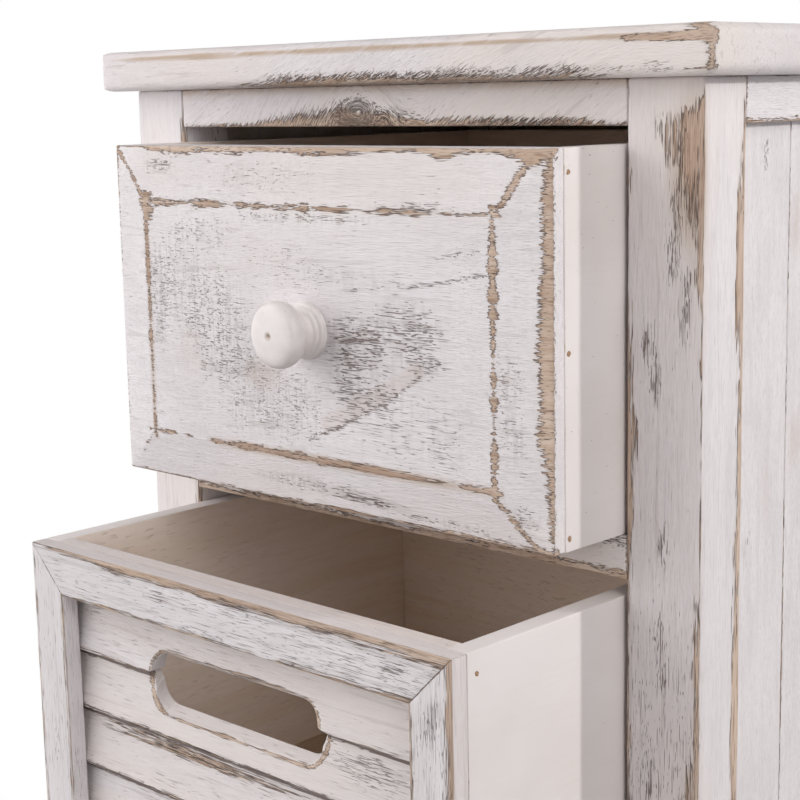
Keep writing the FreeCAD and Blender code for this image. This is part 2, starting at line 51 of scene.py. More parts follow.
FRONT_PLANE = -76.6
CARCASS = np.array((0.0, FRONT_PLANE, 0.0))
HALF_OPENING = 126.0
HALF_WIDTH = 159.0
DEPTH = 250.0
POST_DEPTH = 27.0
POST_TOP = 1270.0
REAR_POST = 223.0
BACK_PANEL = 246.0
TOP = 1288.0
HALF_TOP = 170.5
TOP_FRONT = -12.0
RAIL = 17.0
RAIL_DEPTH = 18.0
LOW_RAIL = 55.0
FLOOR_LINE = 80.0
PITCH = 170.0
RUNNER = 14.0
STOP = 12.0
SIDE_RAIL = 20.0
REBATE = 8.0
PLANK_INNER, PLANK_OUTER, PLANK_LOW, PLANK_HIGH = 147.5, 153.5, 76.0, 1257.0
TONGUE = 4.0
TOP_SCREW_X, TOP_SCREW_IN = 143.25, 40.0
GLUE = 0.1
CLEARANCE = 0.3

OPENED = {1: 40.6, 2: 96.8}
DRAWERS = range(1, 8)
HALF_DRAWER = 124.0
HALF_INSIDE = 115.0
DRAWER_HEIGHT = 146.0
DRAWER_LENGTH = 234.0
BOARD = 9.0
GROOVE = 3.9
BOTTOM_LOW, BOTTOM_HIGH = 8.1, 12.1
PIN = 22.4
FIRST_LIP, FIRST_BACK = 6.5, 15.0
FRAME_THICK, FRAME_WIDE, LOUVRE_BACK = 8.0, 21.0, 15.5
KNOB_HEIGHT = 73.0
FIELD = ((-102.0, 99.0), (20.0, 122.0))
RAISE = 2.7
SLAT_TOP, SLAT_PITCH, SLAT_THICK, SLAT_LEAN = 125.0, 26.0, 7.5, 4.0
SLOT_HALF, SLOT_OFF_CENTRE, SLOT_RADIUS = 50.5, 3.3, 10.0
SLOT_LOW, SLOT_HIGH, SLOT_STEP = 85.5, 109.0, 99.0


def drawer_origin(number):
    height = FLOOR_LINE + CLEARANCE + (DRAWERS[-1] - number) * PITCH
    return np.array((0.0, FRONT_PLANE - OPENED.get(number, 0.0), height))


def seed_of(name):
    return zlib.crc32(name.encode()) % 100003


def wave(s, seed):
    """Smooth random curve between 0 and 1, with about one swing for each unit of s."""
    table = np.random.default_rng(seed).random(256)
    low = np.floor(s)
    part = s - low
    part = part * part * (3 - 2 * part)
    i = low.astype(int)
    return table[i % 256] * (1 - part) + table[(i + 1) % 256] * part


def wobble(s, period, seed):
    """Smooth random curve between -1 and 1."""
    return 2 * wave(s / period, seed) - 1


def by_place(s, table):
    """Value at each s, between the (place, value) pairs of a table."""
    return np.interp(s, *zip(*table))


def blob(points, centre, half):
    """1 in the middle of an ellipsoid, 0 at its rim and negative outside."""
    return 1 - np.sqrt((((points - np.array(centre)) / np.array(half)) ** 2).sum(1))


def from_path(points, path):
    """Distance in the x-z plane from a chain of straight stretches."""
    xz = points[:, [0, 2]]
    best = np.full(len(points), ANY)
    for a, b in zip(np.array(path[:-1], float), np.array(path[1:], float)):
        along = np.clip(((xz - a) @ (b - a)) / ((b - a) @ (b - a)), 0, 1)
        best = np.minimum(best, np.linalg.norm(xz - (a + along[:, None] * (b - a)), axis=1))
    return best


def slot_distance(points):
    """Distance in the x-z plane outside the outline of the finger slot, negative inside it."""
    middle, half = (SLOT_LOW + SLOT_HIGH) / 2, (SLOT_HIGH - SLOT_LOW) / 2
    x = np.abs(points[:, 0] + SLOT_OFF_CENTRE) - (SLOT_HALF - SLOT_RADIUS)
    z = np.abs(points[:, 2] - middle) - (half - SLOT_RADIUS)
    outside = np.hypot(np.maximum(x, 0), np.maximum(z, 0))
    return outside + np.minimum(np.maximum(x, z), 0) - SLOT_RADIUS


# Boards


class Board:
    """A board with rounded arrises: its points, its quads, and how worn its finish is.

    wear is how bare the wood is, dash how much dark grain shows, and stain how tan the paint is;
    the last two also hold painted shade, between slats and under the top board and the second
    drawer's frame.
    """

    def __init__(self, name, low, high, grain, radius, step, marks=((), (), ())):
        self.seed = seed_of(name)
        self.low = np.array(low, float)
        self.high = np.array(high, float)
        lines = []
        for a, b, pace, extra in zip(self.low, self.high, step, marks):
            r = min(radius, WIDEST_ROUND * (b - a))
            count = max(1, math.ceil((b - a - 2 * r) / pace))
            inner = np.linspace(a + r, b - r, count + 1)
            ends = (a, a + ROUND_LINE * r, b - ROUND_LINE * r, b)
            lines.append(np.unique(np.round(np.concatenate((inner, ends, extra)), 4)))
        n = [len(line) for line in lines]
        quads = []
        for axis in range(3):
            b, c = (axis + 1) % 3, (axis + 2) % 3
            for side in (0, n[axis] - 1):
                place = np.zeros((3, n[b], n[c]), int)
                place[axis] = side
                place[b] = np.arange(n[b])[:, None]
                place[c] = np.arange(n[c])[None, :]
                flat = (place[0] * n[1] + place[1]) * n[2] + place[2]
                corners = (flat[:-1, :-1], flat[1:, :-1], flat[1:, 1:], flat[:-1, 1:])
                quad = np.stack(corners, -1).reshape(-1, 4)
                quads.append(quad if side else quad[:, ::-1])
        found, quads = np.unique(np.concatenate(quads), return_inverse=True)
        self.quads = quads.reshape(-1, 4)
        place = (found // (n[1] * n[2]), found // n[2] % n[1], found % n[2])
        self.box_points = np.stack([line[i] for line, i in zip(lines, place)], 1)
        inset = np.minimum(radius, WIDEST_ROUND * (self.high - self.low))
        core = np.clip(self.box_points, self.low + inset, self.high - inset)
        away = self.box_points - core
        length = np.linalg.norm(away, axis=1, keepdims=True)
        rounded = core + away / np.maximum(length, 1e-9) * inset.min()
        along = self.box_points[:, "xyz".index(grain)]
        hand = 0.55 + 0.6 * wave(along / 17.0, self.seed + 7)
        self.points = self.box_points + (rounded - self.box_points) * hand[:, None]
        order = {"x": (0, 1, 2), "y": (1, 0, 2), "z": (2, 0, 1)}[grain]
        start = np.random.default_rng(self.seed).random(3) * 40.0
        self.grain = self.box_points[:, order] / 1000 + start
        self.wear = np.zeros(len(self.points))
        self.dash = np.full(len(self.points), 0.2)
        self.stain_and_shade = np.zeros(len(self.points))
        self.material = np.zeros(len(self.quads), int)

    def face(self, name):
        """Distance of each point from one face of the board, such as -y."""
        axis = "xyz".index(name[1])
        place = self.box_points[:, axis]
        return place - self.low[axis] if name[0] == "-" else self.high[axis] - place

    def rub(self, distance, width, soft=None, where=True, spread=0.8):
        """Bare wood up to this distance from a line, softer at its edge where the band is wide."""
        soft = 1.5 + spread * np.maximum(width, 0) if soft is None else soft
        worn = np.clip(0.5 + (width - distance) / soft, 0, 1)
        self.wear = np.where(where, np.maximum(self.wear, worn), self.wear)
        return self

    def arris(self, pair, width, other=None, sway=0.5, period=22.0, soft=None, spread=0.8):
        """Bare wood along an arris between two faces.

        The width is a number or a table of places along the arris, and the second face may have
        a width of its own.
        """
        first, second = pair.split()
        s = self.box_points[:, "xyz".index(({"x", "y", "z"} - {first[1], second[1]}).pop())]
        both = (width, width if other is None else other)
        widths = [w if np.isscalar(w) else by_place(s, w) for w in both]
        on_first, on_second = self.face(first), self.face(second)
        seed = self.seed + zlib.crc32(pair.encode()) % 997
        widths = np.where(on_first <= on_second, *widths) + sway * wobble(s, period, seed)
        return self.rub(np.maximum(on_first, on_second), widths, soft, True, spread)

    def all_arrises(self, width=-0.35, sway=0.45, period=26.0):
        for i, first in enumerate(FACES):
            for second in FACES[i + 1:]:
                if first[1] != second[1]:
                    self.arris(f"{first} {second}", width, None, sway, period)
        return self

    def worn_spot(self, centre, half, strength):
        shape = 0.5 + strength * blob(self.box_points, centre, half)
        self.wear = np.maximum(self.wear, np.clip(shape, 0, 1))
        return self

    def dashes(self, centre, half, amount):
        share = np.clip(1.6 * blob(self.box_points, centre, half), 0, 1)
        self.dash = np.maximum(self.dash, amount * share)
        return self

    def tan_spot(self, centre, half, amount):
        share = np.clip(1.5 * blob(self.box_points, centre, half), 0, 1)
        self.stain_and_shade = np.maximum(self.stain_and_shade, amount * share)
        return self

    def scattered(self, count, reach, along, amount):
        """A few clusters of dark grain in places of their own."""
        axis = "xyz".index(along)
        places = np.random.default_rng(self.seed + 3)
        for _ in range(count):
            centre = self.low + places.random(3) * (self.high - self.low)
            half = np.full(3, float(reach[0]))
            half[axis] = reach[1]
            half *= 0.5 + places.random()
            self.dashes(centre, half, amount * (0.6 + 0.4 * places.random()))
        return self

    def slanted(self, *slopes):
        """Leans the grain's lines on the front, by a slope at each of some places along it."""
        places, values = np.array(slopes, float).T
        steps = np.cumsum(np.diff(places) * (values[1:] + values[:-1]) / 2)
        steps = np.concatenate(((0,), steps))
        self.grain[:, 2] -= np.interp(self.box_points[:, 0], places, steps) / 1000
        return self

    def knot(self, centre, reach):
        """Turns the grain round a knot on the front of the board."""
        flat = (self.box_points - np.array(centre))[:, [0, 2]]
        r = np.hypot(flat[:, 0] * 0.55, flat[:, 1])
        turn = np.exp(-((r / reach) ** 2))[:, None]
        start = self.grain.mean(0)
        around = np.arctan2(flat[:, 1], flat[:, 0]) * reach / 1800
        ringed = np.stack((around + start[0], start[1] + r * 0, start[2] + r / 1000), 1)
        self.grain = self.grain * (1 - turn) + ringed * turn
        return self

    def painted_inside(self, face):
        """Gives the quads on one face of the board the second of the piece's materials."""
        gap = self.face(face)[self.quads].max(1)
        self.material[gap < 0.05] = 1
        return self


def mitred(board):
    """Narrows a board towards one long edge, at 45 degrees at both ends, as in a frame."""
    length = board.high[0] - board.low[0]
    v = board.points[:, 1]
    u = board.points[:, 0]
    board.points[:, 0] = v + u * (length - 2 * v) / length
    return board


def turned(board, axes, shift):
    """Sends the board's own x, y and z to other signed axes, and moves it."""
    frame_of = np.zeros((3, 3))
    for i, name in enumerate(axes):
        frame_of[i, "xyz".index(name[1])] = -1.0 if name[0] == "-" else 1.0
    board.points = board.points @ frame_of + np.array(shift)
    if np.linalg.det(frame_of) < 0:
        board.quads = board.quads[:, ::-1]


def mirrored(board):
    board.points = board.points * (-1.0, 1.0, 1.0)
    board.quads = board.quads[:, ::-1]
    return board


def lathe(profile, segments, name, direction, start, hand=0.0):
    """A turned piece from (distance, radius) pairs that begin and end on its axis."""
    profile = np.array(profile, float)
    turn = np.linspace(0, 2 * math.pi, segments, endpoint=False)
    rough = 1 + hand * (wave(turn * 2.2, seed_of(name)) - 0.5)
    ring = np.stack((np.cos(turn) * rough, np.sin(turn) * rough), 1)
    rings = profile[1:-1]
    count = len(rings)
    flat = (rings[:, 1][:, None, None] * ring[None]).reshape(-1, 2)
    own = np.column_stack((flat, np.repeat(rings[:, 0], segments)))
    own = np.concatenate((own, ((0, 0, profile[0, 0]), (0, 0, profile[-1, 0]))))
    axes = {"x": (2, 0, 1), "-x": (2, 1, 0), "-y": (0, 2, 1), "z": (0, 1, 2), "y": (1, 2, 0)}
    sense = (1, 1, -1 if direction[0] == "-" else 1)
    piece = Board.__new__(Board)
    piece.points = (own * sense)[:, axes[direction]] + np.array(start)
    i = np.arange(segments)
    j = (i + 1) % segments
    rows = np.arange(count - 1)[:, None] * segments
    quads = (rows + i, rows + j, rows + segments + j, rows + segments + i)
    quads = np.stack(quads, -1).reshape(-1, 4)
    last = (count - 1) * segments
    near = np.stack((np.full(segments, count * segments), j, i, i), 1)
    far = np.stack((np.full(segments, count * segments + 1), last + i, last + j, last + j), 1)
    piece.quads = np.concatenate((quads, near, far))
    piece.grain = own[:, (2, 0, 1)] / 1000
    piece.wear, piece.dash, piece.stain_and_shade = np.zeros((3, len(own)))
    piece.material = np.zeros(len(piece.quads), int)
    return piece


def smooth_profile(points, between):
    """A Catmull-Rom curve through a turned profile."""
    p = np.array(points, float)
    p = np.concatenate((p[:1], p, p[-1:]))
    t = np.linspace(0, 1, between, endpoint=False)[:, None]
    parts = []
    for a, b, c, d in zip(p[:-3], p[1:-2], p[2:-1], p[3:]):
        bend = (2 * a - 5 * b + 4 * c - d) * t**2
        parts.append(0.5 * (2 * b + (c - a) * t + bend + (3 * b - a - 3 * c + d) * t**3))
    return np.maximum(np.concatenate(parts + [p[-1:]]), (-ANY, 0.0))


def make_piece(node, boards, slot, *materials):
    """Joins boards into the mesh that stands for a CAD node, with its finish in attributes."""
    in_drawer = node.startswith("drawer_") and node[7].isdigit()
    origin = drawer_origin(int(node[7])) if in_drawer else CARCASS
    starts = np.cumsum([0] + [len(board.points) for board in boards])
    points = np.concatenate([board.points + origin for board in boards]) / 1000
    quads = np.concatenate([board.quads + start for board, start in zip(boards, starts)])
    grain = np.concatenate([board.grain for board in boards])
    finish = np.concatenate([np.stack((b.wear, b.dash, b.stain_and_shade), 1) for b in boards])
    kinds = np.concatenate([board.material for board in boards])
    mesh = bpy.data.meshes.new(node)
    mesh.vertices.add(len(points))
    mesh.vertices.foreach_set("co", points.astype(np.float32).ravel())
    corners = np.ones(quads.shape, bool)
    corners[:, 3] = quads[:, 3] != quads[:, 2]
    loops = quads[corners]
    mesh.loops.add(len(loops))
    mesh.loops.foreach_set("vertex_index", loops.astype(np.int32))
    mesh.polygons.add(len(quads))
    first = np.concatenate(((0,), np.cumsum(corners.sum(1))[:-1]))
    mesh.polygons.foreach_set("loop_start", first.astype(np.int32))
    mesh.polygons.foreach_set("material_index", kinds.astype(np.int32))
    mesh.update(calc_edges=True)
    mesh.polygons.foreach_set("use_smooth", np.ones(len(quads), bool))
    for name, values in (("grain", grain), ("finish", finish)):
        attribute = mesh.attributes.new(name, "FLOAT_VECTOR", "POINT")
        attribute.data.foreach_set("vector", values.astype(np.float32).ravel())
    for material in materials:
        mesh.materials.append(material)
    piece = bpy.data.objects.new(f"look_{node}", mesh)
    scene.collection.objects.link(piece)
    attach(piece, node[:8] if in_drawer else "cabinet")
    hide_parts(node)


# Materials

PAINT_DIM = (0.735, 0.697, 0.718, 1)
PAINT_BRIGHT = (0.812, 0.775, 0.798, 1)
PAINT_WARM = (0.800, 0.735, 0.712, 1)
PAINT_THIN = (0.43, 0.385, 0.375, 1)
PAINT_STAIN_AND_SHADE = (0.50, 0.385, 0.30, 1)
PAINT_RUBBED = (0.62, 0.53, 0.47, 1)
GREY_FIBRE = (0.50, 0.455, 0.455, 1)
WOOD_PALE = (0.68, 0.545, 0.455, 1)
WOOD_DEEP = (0.55, 0.410, 0.315, 1)
WOOD_PATCH = (0.38, 0.250, 0.178, 1)
WOOD_STAIN_AND_SHADE = (0.42, 0.285, 0.215, 1)
WOOD_LINE = (0.24, 0.150, 0.105, 1)
DARK_RIM = (0.125, 0.080, 0.062, 1)
DARK_GRAIN_AND_SHADE = (0.130, 0.090, 0.076, 1)


class Graph:
    """The node tree of a material or world, written as nested calls."""

    def __init__(self, owner, shader="Principled BSDF", output="Material Output"):
        self.owner = owner
        owner.use_nodes = True
        self.tree = owner.node_tree
        self.shader = self.tree.nodes[shader]
        self.output = self.tree.nodes[output]

    def put(self, socket, value):
        if isinstance(value, bpy.types.NodeSocket):
            self.tree.links.new(value, socket)
        elif value is not None:
            socket.default_value = value

    def node(self, kind, inputs=(), **settings):
        made = self.tree.nodes.new(kind)
        for key, value in settings.items():
            setattr(made, key, value)
        for key, value in dict(inputs).items():
            self.put(made.inputs[key], value)
        return made

    def attribute(self, name):
        return self.node("ShaderNodeAttribute", attribute_name=name).outputs["Vector"]

    def worn(self):
        """The piece's wear, dash and stain, the last two also holding painted shade."""
        return self.node("ShaderNodeSeparateXYZ", {0: self.attribute("finish")}).outputs

    def math(self, operation, a, b, clamp=False):
        inputs = {0: a, 1: b}
        made = self.node("ShaderNodeMath", inputs, operation=operation, use_clamp=clamp)
        return made.outputs[0]

    def add(self, a, b):
        return self.math("ADD", a, b)

    def less(self, a, b):
        return self.math("SUBTRACT", a, b)

    def mul(self, a, b):
        return self.math("MULTIPLY", a, b)

    def vector(self, operation, a, b):
        return self.node("ShaderNodeVectorMath", {0: a, 1: b}, operation=operation).outputs[0]

    def noise(self, place, along, across, detail=0, output="Fac"):
        """Noise with so many swings in a metre, along the grain and across it."""
        scaled = self.vector("MULTIPLY", place, (along, across, across))
        inputs = {"Vector": scaled, "Scale": 1, "Detail": detail}
        return self.node("ShaderNodeTexNoise", inputs).outputs[output]

    def ramp(self, value, low, high, to_low=0, to_high=1):
        inputs = {"Value": value, "From Min": low, "From Max": high}
        inputs |= {"To Min": to_low, "To Max": to_high}
        return self.node("ShaderNodeMapRange", inputs, interpolation_type="SMOOTHSTEP").outputs[0]

    def mix(self, factor, a, b):
        return self.node("ShaderNodeMix", {0: factor, 6: a, 7: b}, data_type="RGBA").outputs[2]

    def tint(self, colour, other, amount, share):
        return self.mix(self.mul(amount, share), colour, other)

    def finish(self, colour, roughness, height, distance, specular=0.35):
        self.put(self.shader.inputs["Base Color"], colour)
        self.put(self.shader.inputs["Roughness"], roughness)
        self.shader.inputs["Specular IOR Level"].default_value = specular
        bump = {"Height": height, "Distance": distance, "Strength": 0.85}
        self.put(self.shader.inputs["Normal"], self.node("ShaderNodeBump", bump).outputs[0])
        return self.owner

    def seen(self):
        """1 for what the camera sees, also in a gloss or through glass, and 0 for other rays."""
        rays = self.node("ShaderNodeLightPath").outputs
        direct = self.add(rays["Is Camera Ray"], rays["Is Glossy Ray"])
        return self.math("ADD", direct, rays["Is Transmission Ray"], True)

    def show(self, factor, other):
        """Sends the shader to the output, mixed with another one."""
        inputs = {0: factor, 1: self.shader.outputs[0], 2: other.outputs[0]}
        self.put(self.output.inputs["Surface"], self.node("ShaderNodeMixShader", inputs).outputs[0])


def bent_grain(g, amount=0.006, size=13):
    """Coordinates along, across and through the board, with the grain wandering a little."""
    grain = g.attribute("grain")
    drift = g.vector("SUBTRACT", g.noise(grain, size * 0.5, size, 2, "Color"), (0.5, 0.5, 0.5))
    return grain, g.vector("ADD", grain, g.vector("MULTIPLY", drift, (0, amount, amount)))


def whitewash(name, weave_share, hatch_share, warmth):
    """Thin white paint over wood, rubbed through at arrises, with dark grain showing in dashes; the
    dark marks and the tan tint also paint shade in places.
    """
    g = Graph(bpy.data.materials.new(name))
    grain, bent = bent_grain(g)
    wear, dash, stain_and_shade = g.worn()
    patch = g.noise(grain, 24, 34, 2)
    streak = g.noise(bent, 34, 330, 3)
    stroke = g.noise(bent, 75, 900, 1)
    teeth = g.noise(bent, 340, 2300)
    fibre = g.noise(bent, 300, 2700)
    speck = g.noise(grain, 820, 2100)
    weave = g.noise(grain, 240, 32)
    slash = g.noise(bent, 110, 1700)

    # Bare wood has a ragged outline with a dark rim.
    ragged = g.add(g.add(g.mul(stroke, 1.4), g.mul(teeth, 0.9)), g.mul(patch, 0.5))
    worn = g.add(wear, g.mul(g.less(ragged, 1.42), g.ramp(wear, 0, 0.2)))
    bare = g.ramp(worn, 0.47, 0.53)
    rim = g.mul(g.ramp(worn, 0.30, 0.45), g.ramp(worn, 0.66, 0.50))
    rim = g.mul(rim, g.ramp(fibre, 0.36, 0.50))

    # Dark grain: strokes, dots between them, and long cuts where it is densest. The same marks
    # paint the shade where slats meet.
    level = g.add(g.mul(g.math("MINIMUM", dash, 0.85), 0.36), g.mul(patch, 0.16))
    level = g.less(0.97 + 0.5 * weave_share, g.add(level, g.mul(weave, weave_share)))
    marks = g.ramp(g.less(fibre, level), -0.01, 0.10)
    dots = g.ramp(g.less(speck, g.add(level, 0.02)), 0, 0.08)
    deep = g.ramp(g.less(slash, g.less(1.19, g.mul(dash, 0.62))), 0, 0.08)
    marks = g.math("MAXIMUM", g.math("MAXIMUM", marks, dots), deep)

    cloud = g.ramp(g.mul(g.add(streak, patch), 0.5), 0.38, 0.62)
    paint = g.mix(cloud, PAINT_DIM, PAINT_BRIGHT)
    paint = g.tint(paint, GREY_FIBRE, g.ramp(fibre, 0.50, 0.74), 0.26)
    paint = g.tint(paint, GREY_FIBRE, g.ramp(speck, 0.55, 0.78), 0.18)
    paint = g.tint(paint, PAINT_WARM, g.ramp(g.noise(grain, 9, 17, 1), 0.40, 0.60), warmth)
    thin = g.ramp(g.add(streak, g.mul(dash, 0.22)), 0.62, 0.76)
    paint = g.tint(paint, PAINT_THIN, thin, 0.34)
    hatch = g.ramp(g.noise(grain, 950, 70), 0.48, 0.70)
    hatch_amount = g.ramp(dash, 0.25, 0.60, 0.1 * hatch_share, hatch_share)
    paint = g.tint(paint, GREY_FIBRE, hatch, hatch_amount)
    # Tan stain on the paint, which also paints shade under the top board and the second drawer's
    # frame.
    paint = g.tint(paint, PAINT_STAIN_AND_SHADE, stain_and_shade, g.ramp(streak, 0.1, 0.5))
    paint = g.tint(paint, PAINT_RUBBED, g.ramp(worn, 0, 0.45), 0.35)

    wood = g.mix(g.ramp(streak, 0.36, 0.66), WOOD_PALE, WOOD_DEEP)
    wood = g.tint(wood, WOOD_PATCH, g.ramp(patch, 0.46, 0.66), 0.4)
    # Tan stain on bare wood, which also carries that painted shade.
    wood = g.tint(wood, WOOD_STAIN_AND_SHADE, stain_and_shade, 0.8)
    wood = g.tint(wood, WOOD_LINE, g.ramp(stroke, 0.56, 0.74), 0.6)
    wood = g.tint(wood, WOOD_LINE, g.ramp(fibre, 0.60, 0.72), 0.5)

    colour = g.mix(bare, paint, wood)
    colour = g.tint(colour, DARK_RIM, rim, 0.85)
    # Dark grain marks, which also paint the shade where slats meet.
    colour = g.tint(colour, DARK_GRAIN_AND_SHADE, marks, g.ramp(dash, 0.3, 1, 0.55, 0.9))
    height = g.less(g.mul(streak, 0.35), bare)
    height = g.less(height, g.mul(g.add(marks, rim), 0.6))
    height = g.less(height, g.mul(fibre, 0.45))
    return g.finish(colour, g.ramp(bare, 0, 1, 0.58, 0.74), height, 0.0006)


def cream_paint():
    """Smooth cream paint with faint clouds, a few specks and brush lines."""
    g = Graph(bpy.data.materials.new("cream_paint"))
    grain, bent = bent_grain(g)
    cloud = g.noise(grain, 16, 22, 3)
    brush = g.noise(bent, 26, 420, 2)
    speck = g.ramp(g.noise(grain, 1100, 1300), 0.86, 0.90)
    colour = g.mix(g.ramp(cloud, 0.35, 0.65), (0.742, 0.688, 0.674, 1), (0.787, 0.737, 0.729, 1))
    colour = g.tint(colour, (0.70, 0.635, 0.585, 1), g.ramp(brush, 0.52, 0.75), 0.10)
    edge = g.ramp(g.add(g.worn()[0], g.mul(brush, 0.5)), 0.74, 0.86)
    colour = g.tint(colour, (0.50, 0.385, 0.275, 1), edge, 0.75)
    colour = g.tint(colour, (0.16, 0.11, 0.085, 1), speck, 0.8)
    height = g.less(g.mul(brush, 0.5), speck)
    return g.finish(colour, g.ramp(brush, 0.3, 0.7, 0.42, 0.56), height, 0.0002)


def bare_wood(name, pale, dark, line, scale):
    """Unpainted wood with growth lines along the grain and small pores."""
    g = Graph(bpy.data.materials.new(name))
    bent = bent_grain(g, 0.012, 9)[1]
    rings = g.noise(bent, 6 * scale, 95 * scale, 2)
    streak = g.noise(bent, 24, 420, 3)
    pores = g.ramp(g.noise(bent, 150, 1500, 1), 0.64, 0.74)
    colour = g.mix(g.ramp(rings, 0.36, 0.64), pale, dark)
    colour = g.tint(colour, line, g.ramp(streak, 0.45, 0.75), 0.35)
    colour = g.tint(colour, tuple(0.55 * c for c in line[:3]) + (1,), pores, 0.16)
    height = g.less(g.mul(streak, 0.6), pores)
    return g.finish(colour, g.ramp(streak, 0.3, 0.7, 0.62, 0.78), height, 0.0003, 0.3)


def knob_paint():
    """Satin off-white paint on a turned knob, with lathe rings and a few rubbed places."""
    g = Graph(bpy.data.materials.new("knob_paint"))
    grain = g.attribute("grain")
    rings = g.noise(grain, 900, 40, 1)
    cloud = g.noise(grain, 160, 160, 3)
    pits = g.ramp(g.noise(grain, 700, 700, 1), 0.73, 0.80)
    colour = g.mix(g.ramp(cloud, 0.35, 0.65), (0.735, 0.685, 0.672, 1), (0.790, 0.745, 0.735, 1))
    rubbed = g.ramp(g.add(g.worn()[0], g.mul(cloud, 0.6)), 0.72, 0.95)
    colour = g.tint(colour, (0.45, 0.34, 0.26, 1), rubbed, 0.5)
    colour = g.tint(colour, (0.45, 0.36, 0.30, 1), pits, 0.35)
    height = g.less(g.mul(rings, 0.3), pits)
    return g.finish(colour, g.ramp(cloud, 0.3, 0.7, 0.36, 0.50), height, 0.00012, 0.45)


def steel():
    """Zinc-plated steel with fine scratches."""
    g = Graph(bpy.data.materials.new("zinc_steel"))
    grain = g.attribute("grain")
    cloud = g.noise(grain, 300, 300, 3)
    scratch = g.noise(grain, 2500, 300, 2)
    colour = g.mix(cloud, (0.46, 0.46, 0.45, 1), (0.66, 0.65, 0.62, 1))
    g.shader.inputs["Metallic"].default_value = 1
    return g.finish(colour, g.ramp(scratch, 0.3, 0.7, 0.28, 0.48), scratch, 0.00005, 0.5)


def filler():
    """Brown filler over sunk nails, crumbly at its rim."""
    g = Graph(bpy.data.materials.new("nail_filler"))
    crumb = g.noise(g.attribute("grain"), 1600, 1600, 3)
    colour = g.mix(g.ramp(crumb, 0.35, 0.65), (0.20, 0.105, 0.055, 1), (0.42, 0.27, 0.165, 1))
    return g.finish(colour, g.ramp(crumb, 0.3, 0.7, 0.6, 0.85), crumb, 0.0002, 0.3)


WHITE = whitewash("whitewash", 0.05, 0.03, 0.75)
COOL = whitewash("cool_whitewash", 0.05, 0.03, 0.15)
SAWN = whitewash("sawn_whitewash", 0.16, 0.32, 0.3)
CREAM = cream_paint()
INSIDE = bare_wood("plain_wood", (0.94, 0.825, 0.745, 1), (0.91, 0.775, 0.675, 1),
                   (0.83, 0.67, 0.56, 1), 1)
PLY = bare_wood("plywood", (0.60, 0.475, 0.355, 1), (0.53, 0.40, 0.285, 1),
                (0.40, 0.275, 0.18, 1), 0.6)
KNOB = knob_paint()
STEEL = steel()
FILLER = filler()

# Carcass


def make_top():
    finer = (1281.2, 1282.4, 1283.2, 1284.8, 1285.2, 1286.4)
    low, high = (-HALF_TOP, TOP_FRONT, POST_TOP), (HALF_TOP, DEPTH, TOP)
    top = Board("top_board", low, high, "x", 4, (4, 5, 2.2), ((), (), finer))
    x, z = top.box_points[:, 0], top.box_points[:, 2]
    front = top.face("-y") < 3
    top.all_arrises(-0.8, 0.5)
    top.slanted((-171, 0), (-75, 0.05), (-60, 0.45), (120, 0.45), (140, 0.05), (171, 0))
    band = by_place(x, ((-171, 0), (-162, 0.2), (-140, 0.8), (-118, 1.3), (-90, 1.3), (-62, 1),
                        (-30, 0.9), (20, 1), (70, 0.9), (105, 0.5), (128, 0.7), (150, 1.4),
                        (171, 2.4)))
    band += 0.3 * wobble(x, 14, 5)
    top.rub(np.abs(z - 1283.6), np.where(x > 132, band, -3), 1.3, front)
    top.stain_and_shade = np.where(front, np.clip(1 - (np.abs(z - 1284.3) - 0.7 * band) / 0.7, 0, 1), 0)
    top.stain_and_shade *= np.interp(x, (-168, -140, 130, 150), (0.2, 1, 1, 0.3))
    low_line = np.interp(x, (-171, 138, 146, 171), (-3, -1.2, 0.1, 0.5))
    top.rub(np.abs(z - 1273), low_line, 1.4, front)
    top.arris("-y +x", ((1270, -1), (1271.5, 0), (1272.5, 3), (1274, 2.2), (1276, 1.7), (1280, 1.8),
                        (1283, 3), (1285, 7), (1288, 10)), -1, 0.4, 5)
    low_band = by_place(x, ((-171, -3), (-80, -2), (-50, 1.2), (-5, 3.4), (30, 1.5), (110, 1.2),
                            (130, -2)))
    top.rub(z - POST_TOP, low_band, 5, front)
    top.stain_and_shade = np.maximum(top.stain_and_shade, 0.1)
    side_line = ((1270, -0.5), (1278, 0), (1281, 1), (1284, 0.8), (1288, -0.3))
    top.arris("-x -y", -0.8, side_line, 0.3)
    for place in range(-48, 116, 13):
        top.dashes((place, TOP_FRONT, 1273), (15, 6, 4.2), 0.92)
    for place in range(116, 150, 16):
        top.dashes((place, TOP_FRONT, 1273), (15, 6, 2.4), 0.7)
    top.scattered(26, (8, 40), "x", 0.45)
    make_piece("top_board", [top], "whitewashed_wood", WHITE)


# Bare wood on the right post's arrises, as (height, width), above the stretch with made-up wear.
POST_OUTER = ((1003, 6), (1019, 2.7), (1039, 1.2), (1057, 2.8), (1076, 1.4), (1094, 0.2),
              (1169, 0.2), (1191, 0.6), (1199, 3.4), (1207, 2), (1217, 3), (1225, 4.2), (1235, 9),
              (1245, 13.5), (1254, 14.5), (1256, 12), (1259, 6), (1262, 0.8), (1268, -1))
POST_INNER = ((1000, 1.6), (1060, 1.1), (1095, 1), (1110, 2.6), (1135, 3), (1150, 2.4),
              (1180, 1.2), (1200, 0.3), (1270, 0.4))
POST_REAR = ((1013, 5), (1040, 5), (1070, 4.4), (1098, 4), (1135, 3.6), (1179, 3.8), (1193, 4.8),
             (1210, 5), (1232, 4), (1252, 1), (1270, 0.3))
# Clusters of dark grain on the right post: x, height and half length.
POST_DASHES = ((134.5, 1174, 12), (139, 1163, 18), (143, 1098, 14), (141, 1062, 20),
               (143, 1047, 12), (148, 1222, 22), (146, 1208, 20), (152, 1190, 24), (140, 1252, 9),
               (150, 1244, 18), (155, 1226, 20), (136, 985, 60), (148, 960, 60))


